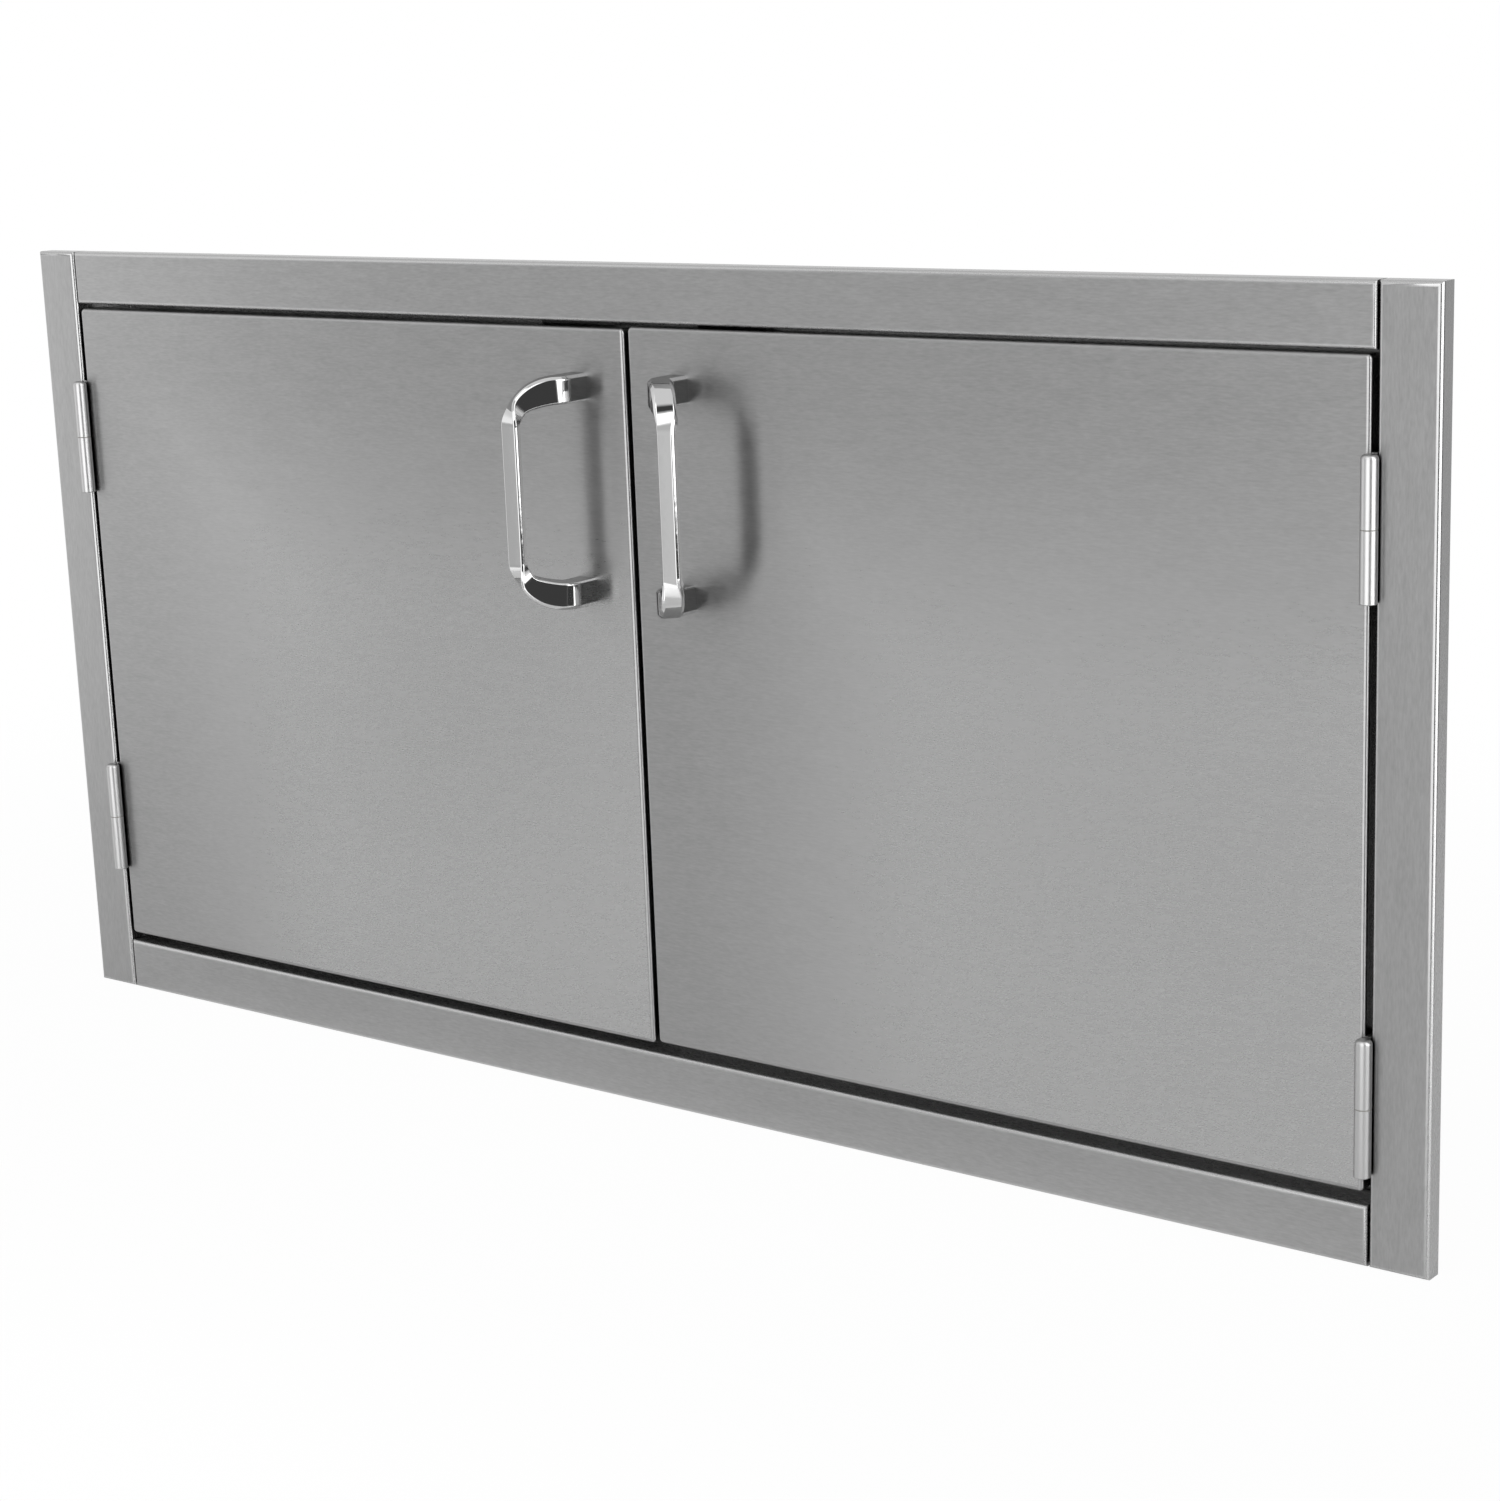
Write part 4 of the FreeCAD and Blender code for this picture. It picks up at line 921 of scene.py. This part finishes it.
def make_handle(side):
    """Offset pull: two square feet and a bar that leans away from the meeting edge."""
    sizes = settings("sizes")
    sign = SIDES[side]
    node = side + "_handle"
    low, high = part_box(node)
    foot_x = (high.x if sign < 0 else low.x) + sign * sizes.foot_width / 2
    origin = Vector((foot_x, high.y, (low.z + high.z) / 2))
    lean = math.atan2(sizes.grip_offset, sizes.grip_reach - sizes.foot_length)
    crease = Vector((0, -sizes.foot_length, (high.z - low.z - sizes.foot_height) / 2))
    half = [[Vector((-sign * u, 0, crease.z + v)) for u, v in
             bar_section(sizes.foot_width, sizes.foot_height, sizes.arm_bevel, sizes.inner_bevel, 0)]]
    for row in crease_rows(sizes, sign, lean) + arm_rows(sizes, sign, lean):
        pulled = excess(low.y - high.y - min(place.y for place in row) - crease.y)
        half.append([crease + place + Vector((0, pulled, 0)) for place in row])
    half += [[Vector((place.x, place.y, -place.z)) for place in row] for row in reversed(half)]
    shape = bmesh.new()
    rows = [[shape.verts.new(origin + place) for place in row] for row in half]
    join_rows(shape, rows)
    shape.faces.new(rows[0])
    shape.faces.new(rows[-1][::-1])
    bmesh.ops.recalc_face_normals(shape, faces=shape.faces)
    piece = finish_mesh(from_bmesh(side + "_handle_cast", shape), CAST_ANGLE)
    attach(piece, side + "_door", paint("handle_chrome"), node)


# Studio

# Lengths are in metres. A ray's height is its upright part, 1 straight up, and its turn is a share of a full
# one, 0.5 straight ahead. A pair tells where an effect starts and is full, a four also where it fades again.
ROOM = (  # direction from straight ahead in degrees, brightness
    (-180, 0.65), (-100, 0.65), (-80, 0.75), (-58, 1.00), (-49.5, 1.00), (-47, 0.43), (-42, 0.47),
    (-39.5, 0.63), (-36, 0.62), (-30, 0.53), (-22, 0.52), (-16, 1.00), (-11, 1.65), (14, 1.65), (26, 1.50),
    (32, 0.35), (36, 0.05), (53, 0.05), (57, 0.50), (61, 2.60), (104, 2.60), (110, 0.80), (116, 0.06),
    (124, 0.06), (132, 0.26), (142, 0.33), (155, 0.42), (180, 0.65))
PANELS = {"heights": (0.42, 0.52, 0.75, 0.85), "turns": (0.40, 0.42, 0.55, 0.59), "light": 1.9}
SCREEN = {"heights": (-0.28, -0.255, -0.16, -0.135), "turns": (0.64, 0.66, 0.735, 0.745), "light": 0.04}
CAP_HEIGHTS, CAP_LIGHT = (0.8, 0.95), 0.7  # overhead and underfoot
BACKDROP_WAY = (-0.614, 0.789, 0)  # level way from the camera past the doors
BACKDROP_SPREAD = (0.55, 0.85)  # cosine of a ray's turn away from it, where white begins and is full
BACKDROP_HEIGHTS = (0.25, 0.1)
REAR_DEPTHS = (0.1, 0.5)  # part of a ray that leads away behind the doors
TRAPPED_LIGHT = 0.02  # what a ray finds there once it has bounced inside a gap
SECOND_LOSS, THIRD_LOSS = 0.45, 0.7  # light lost at a second and a third reflection

FLOOR_HALF, FLOOR_FRONT, FLOOR_BACK = 1.6, -0.75, 1.5
FLOOR_DROP = 0.2 * MM
FADE_FRONT, FADE_BACK, FADE_SIDES = (-0.7, -0.25), (1.4, 0.6), (1.5, 0.8)
MIRROR_FRONT, MIRROR_SIDES = (-0.1, 0.1), (0.6, 0.4)  # where metal sees the floor as white

LAMP_PLACE, LAMP_WIDTH = Vector((-0.6, -1.4, 2.2)), 1.6

CAMERA_PLACE = Vector((1.2171, -1.4598, 0.4008))
CAMERA_RIGHT = Vector((0.79444, 0.60632, -0.03523))
CAMERA_DOWN = Vector((0.11474, -0.20678, -0.97164))
CAMERA_AHEAD = Vector((-0.59641, 0.76786, -0.23385))
CAMERA_SHIFT = (-0.0083, 0.0185)
CAMERA_REACH = (0.05, 50)
SENSOR_WIDTH = 36  # millimetres, as the lens


def times(tree, *feeds):
    """The product of two or more feeds."""
    product = feeds[0]
    for feed in feeds[1:]:
        product = calc(tree, "MULTIPLY", product, feed)
    return product


def room_light(tree, x, y, z):
    """The studio round the doors: light by direction, panels above and below, and a dark screen."""
    turn = calc(tree, "MULTIPLY_ADD", calc(tree, "ARCTAN2", x, times(tree, y, -1.0)), 0.5 / math.pi, 0.5)
    ramp = add_node(tree, "ShaderNodeValToRGB", {"Fac": turn})
    ramp.color_ramp.interpolation = "EASE"
    brightest = max(light for angle, light in ROOM)
    stops = ramp.color_ramp.elements
    while len(stops) < len(ROOM):
        stops.new(0.5)
    for stop, (angle, light) in zip(stops, ROOM):
        stop.position = (angle + 180) / 360
        stop.color = (light / brightest,) * 3 + (1,)
    seen = times(tree, ramp.outputs["Color"], brightest)
    steep = calc(tree, "ABSOLUTE", z)
    for height, patch in ((steep, PANELS), (z, SCREEN)):
        covered = times(tree, window(tree, height, *patch["heights"]), window(tree, turn, *patch["turns"]))
        seen = mix(tree, covered, seen, patch["light"])
    return mix(tree, smooth(tree, steep, *CAP_HEIGHTS), seen, CAP_LIGHT)


def make_world():
    """White to the camera, and to a first reflection past the doors; other reflections see the room."""
    world = bpy.data.worlds.new("studio")
    world.use_nodes = True
    bpy.context.scene.world = world
    tree = world.node_tree
    tree.nodes.clear()
    x, y, z = parts(tree, add_node(tree, "ShaderNodeTexCoord").outputs["Generated"])
    rays = add_node(tree, "ShaderNodeLightPath").outputs
    second = calc(tree, "GREATER_THAN", rays["Glossy Depth"], 1.5)
    third = calc(tree, "GREATER_THAN", rays["Glossy Depth"], 2.5)
    trapped = times(tree, second, smooth(tree, y, *REAR_DEPTHS))
    room = mix(tree, trapped, room_light(tree, x, y, z), TRAPPED_LIGHT)
    faded = times(tree, room, times(tree, calc(tree, "MULTIPLY_ADD", second, -SECOND_LOSS, 1.0),
                                    calc(tree, "MULTIPLY_ADD", third, -THIRD_LOSS, 1.0)))
    level = add_node(tree, "ShaderNodeVectorMath", {0: combine(tree, x, y, 0.0)}, operation="NORMALIZE")
    facing = add_node(tree, "ShaderNodeVectorMath", {0: level.outputs[0], 1: BACKDROP_WAY},
                      operation="DOT_PRODUCT").outputs["Value"]
    beyond = times(tree, smooth(tree, facing, *BACKDROP_SPREAD),
                   smooth(tree, calc(tree, "ABSOLUTE", z), *BACKDROP_HEIGHTS))
    mirrored = calc(tree, "MAXIMUM", rays["Is Glossy Ray"], rays["Is Transmission Ray"])
    backdrop = times(tree, mirrored, beyond, calc(tree, "SUBTRACT", 1.0, second))
    light = mix(tree, calc(tree, "MAXIMUM", rays["Is Camera Ray"], backdrop), faded, 1.0)
    shine = add_node(tree, "ShaderNodeBackground", {"Color": light, "Strength": 1.0})
    tree.links.new(shine.outputs[0], add_node(tree, "ShaderNodeOutputWorld").inputs["Surface"])


def make_floor(white, glow):
    """A pale floor under the trim that fades out before its edge and keeps a faint shadow."""
    shape = bmesh.new()
    level = CAD_BOX[0].z - FLOOR_DROP
    corners = [(-FLOOR_HALF, FLOOR_FRONT), (FLOOR_HALF, FLOOR_FRONT), (FLOOR_HALF, FLOOR_BACK),
               (-FLOOR_HALF, FLOOR_BACK)]
    shape.faces.new([shape.verts.new((x, y, level)) for x, y in corners])
    floor = from_bmesh("studio_floor", shape)
    made, tree, shader = new_material("floor_paint")
    shader.inputs["Base Color"].default_value = (white, white, white, 1)
    shader.inputs["Roughness"].default_value = 0.9
    shader.inputs["Specular IOR Level"].default_value = 0
    x, y, z = parts(tree, object_place(tree))
    aside = calc(tree, "ABSOLUTE", x)
    mask = times(tree, smooth(tree, y, *FADE_FRONT), smooth(tree, y, *FADE_BACK),
                 smooth(tree, aside, *FADE_SIDES))
    rays = add_node(tree, "ShaderNodeLightPath").outputs
    mirrored = times(tree, calc(tree, "MAXIMUM", rays["Is Glossy Ray"], rays["Is Transmission Ray"]),
                     smooth(tree, y, *MIRROR_FRONT), smooth(tree, aside, *MIRROR_SIDES))
    lift = times(tree, calc(tree, "MAXIMUM", rays["Is Camera Ray"], mirrored), glow)
    bright = add_node(tree, "ShaderNodeEmission", {"Color": (1, 1, 1, 1), "Strength": 1.0}).outputs[0]
    lifted = add_node(tree, "ShaderNodeMixShader", {0: lift, 1: shader.outputs[0], 2: bright}).outputs[0]
    clear = add_node(tree, "ShaderNodeBsdfTransparent").outputs[0]
    faded = add_node(tree, "ShaderNodeMixShader", {0: mask, 1: clear, 2: lifted}).outputs[0]
    tree.links.new(faded, tree.nodes["Material Output"].inputs["Surface"])
    floor.data.materials.append(made)


def make_lamp(power):
    """A soft lamp above and to the left, which lights the metal and isn't mirrored in it."""
    lamp = bpy.data.lights.new("soft_lamp", "AREA")
    lamp.shape = "DISK"
    lamp.size = LAMP_WIDTH
    lamp.energy = power
    made = bpy.data.objects.new("soft_lamp", lamp)
    bpy.context.scene.collection.objects.link(made)
    made.location = LAMP_PLACE
    made.rotation_euler = (-LAMP_PLACE).to_track_quat("-Z", "Y").to_euler()
    made.visible_glossy = False


def make_camera(lens):
    """Camera right of the doors and a little above them, as the photograph was taken."""
    camera = bpy.data.objects.new("studio_camera", bpy.data.cameras.new("studio_camera"))
    bpy.context.scene.collection.objects.link(camera)
    turned = Matrix((CAMERA_RIGHT, -CAMERA_DOWN, -CAMERA_AHEAD)).transposed()
    camera.matrix_world = Matrix.Translation(CAMERA_PLACE) @ turned.to_4x4()
    camera.data.sensor_fit = "HORIZONTAL"
    camera.data.sensor_width = SENSOR_WIDTH
    camera.data.lens = lens
    camera.data.shift_x, camera.data.shift_y = CAMERA_SHIFT
    camera.data.clip_start, camera.data.clip_end = CAMERA_REACH
    bpy.context.scene.camera = camera


# Operators

class ACCESS_DOOR_OT_trim(bpy.types.Operator):
    """Fold the trim's uprights and cross rails"""
    bl_idname = "access_door.trim"
    bl_label = "Trim"

    def execute(self, context):
        sizes = settings("sizes")
        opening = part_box("top_rail")[1].z - sizes.trim_face + sizes.trim_sheet
        for side, sign in SIDES.items():
            make_trim_piece(side + "_stile", Vector((-sign, 0, 0)), UP, opening, sizes.side_spacing,
                            paint("trim_steel_upright"))
        for end, sign in ENDS.items():
            node = end + "_rail"
            make_trim_piece(node, Vector((0, 0, -sign)), RIGHT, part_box(node)[1].x,
                            sizes.rail_spacing, paint("trim_steel"), sizes.rail_flange)
        return {"FINISHED"}


class ACCESS_DOOR_OT_doors(bpy.types.Operator):
    """Fold the outer and inner skin of both doors"""
    bl_idname = "access_door.doors"
    bl_label = "Doors"

    def execute(self, context):
        sizes = settings("sizes")
        skins = (("_door_skin", "_door_panel", "door_steel", True,
                  (sizes.door_sheet, sizes.door_bend, sizes.door_corner)),
                 ("_door_back", "_door_liner", "liner_steel", False,
                  (sizes.liner_sheet, sizes.liner_bend, sizes.liner_corner)))
        for side in SIDES:
            for name, node, slot, opens_back, folds in skins:
                skin = make_tray(side + name, *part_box(side + node), *folds, paint(slot), opens_back)
                attach(skin, side + "_door", paint(slot), side + node)
        return {"FINISHED"}


class ACCESS_DOOR_OT_handles(bpy.types.Operator):
    """Cast both offset pull handles"""
    bl_idname = "access_door.handles"
    bl_label = "Handles"

    def execute(self, context):
        for side in SIDES:
            make_handle(side)
        return {"FINISHED"}


class ACCESS_DOOR_OT_rivets(bpy.types.Operator):
    """Set the hinge and strike rivets"""
    bl_idname = "access_door.rivets"
    bl_label = "Rivets"

    def execute(self, context):
        set_rivets("frame_hinge_rivets", "frame", RIGHT)
        for side in SIDES:
            set_rivets(side + "_hinge_rivets", side + "_door", LEFT)
        for side in SIDES:
            set_rivets(side + "_strike_rivets", side + "_door", FORWARD)
        return {"FINISHED"}


class ACCESS_DOOR_OT_carried_over(bpy.types.Operator):
    """Paint every CAD node that keeps its own shape"""
    bl_idname = "access_door.carried_over"
    bl_label = "Carried-over pieces"

    def execute(self, context):
        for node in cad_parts.values():
            for place in node.material_slots:
                place.material = paint(place.material.name.split(".")[0])
        return {"FINISHED"}


class ACCESS_DOOR_OT_studio(bpy.types.Operator):
    """Set up the floor, the soft light and the camera"""
    bl_idname = "access_door.studio"
    bl_label = "Studio"

    def execute(self, context):
        studio = settings("studio")
        make_world()
        make_floor(studio.floor_white, studio.floor_glow)
        make_lamp(studio.lamp_power)
        make_camera(studio.lens)
        return {"FINISHED"}


OPERATORS = (ACCESS_DOOR_OT_trim, ACCESS_DOOR_OT_doors, ACCESS_DOOR_OT_handles, ACCESS_DOOR_OT_rivets,
             ACCESS_DOOR_OT_carried_over, ACCESS_DOOR_OT_studio)
GROUPS = {"sizes": ACCESS_DOOR_Sizes, "finish": ACCESS_DOOR_Finish, "studio": ACCESS_DOOR_Studio}


class ACCESS_DOOR_PT_sidebar(bpy.types.Panel):
    """Lists the steps that build the access door"""
    bl_idname = "ACCESS_DOOR_PT_sidebar"
    bl_label = "Access Door"
    bl_space_type = "VIEW_3D"
    bl_region_type = "UI"
    bl_category = "Access Door"

    def draw(self, context):
        for step in OPERATORS:
            self.layout.operator(step.bl_idname)
        for name, group in GROUPS.items():
            box = self.layout.box()
            box.label(text=name)
            for word in group.__annotations__:
                box.prop(settings(name), word)


CLASSES = (*GROUPS.values(), *OPERATORS, ACCESS_DOOR_PT_sidebar)


def register():
    for made in CLASSES:
        bpy.utils.register_class(made)
    for name, made in GROUPS.items():
        setattr(bpy.types.Scene, "access_door_" + name, PointerProperty(type=made))


def unregister():
    for name in GROUPS:
        delattr(bpy.types.Scene, "access_door_" + name)
    for made in reversed(CLASSES):
        bpy.utils.unregister_class(made)


def main():
    register()
    bpy.context.scene.view_settings.view_transform = "Standard"
    for step in OPERATORS:
        category, name = step.bl_idname.split(".")
        getattr(getattr(bpy.ops, category), name)()


if __name__ == "__main__":
    main()
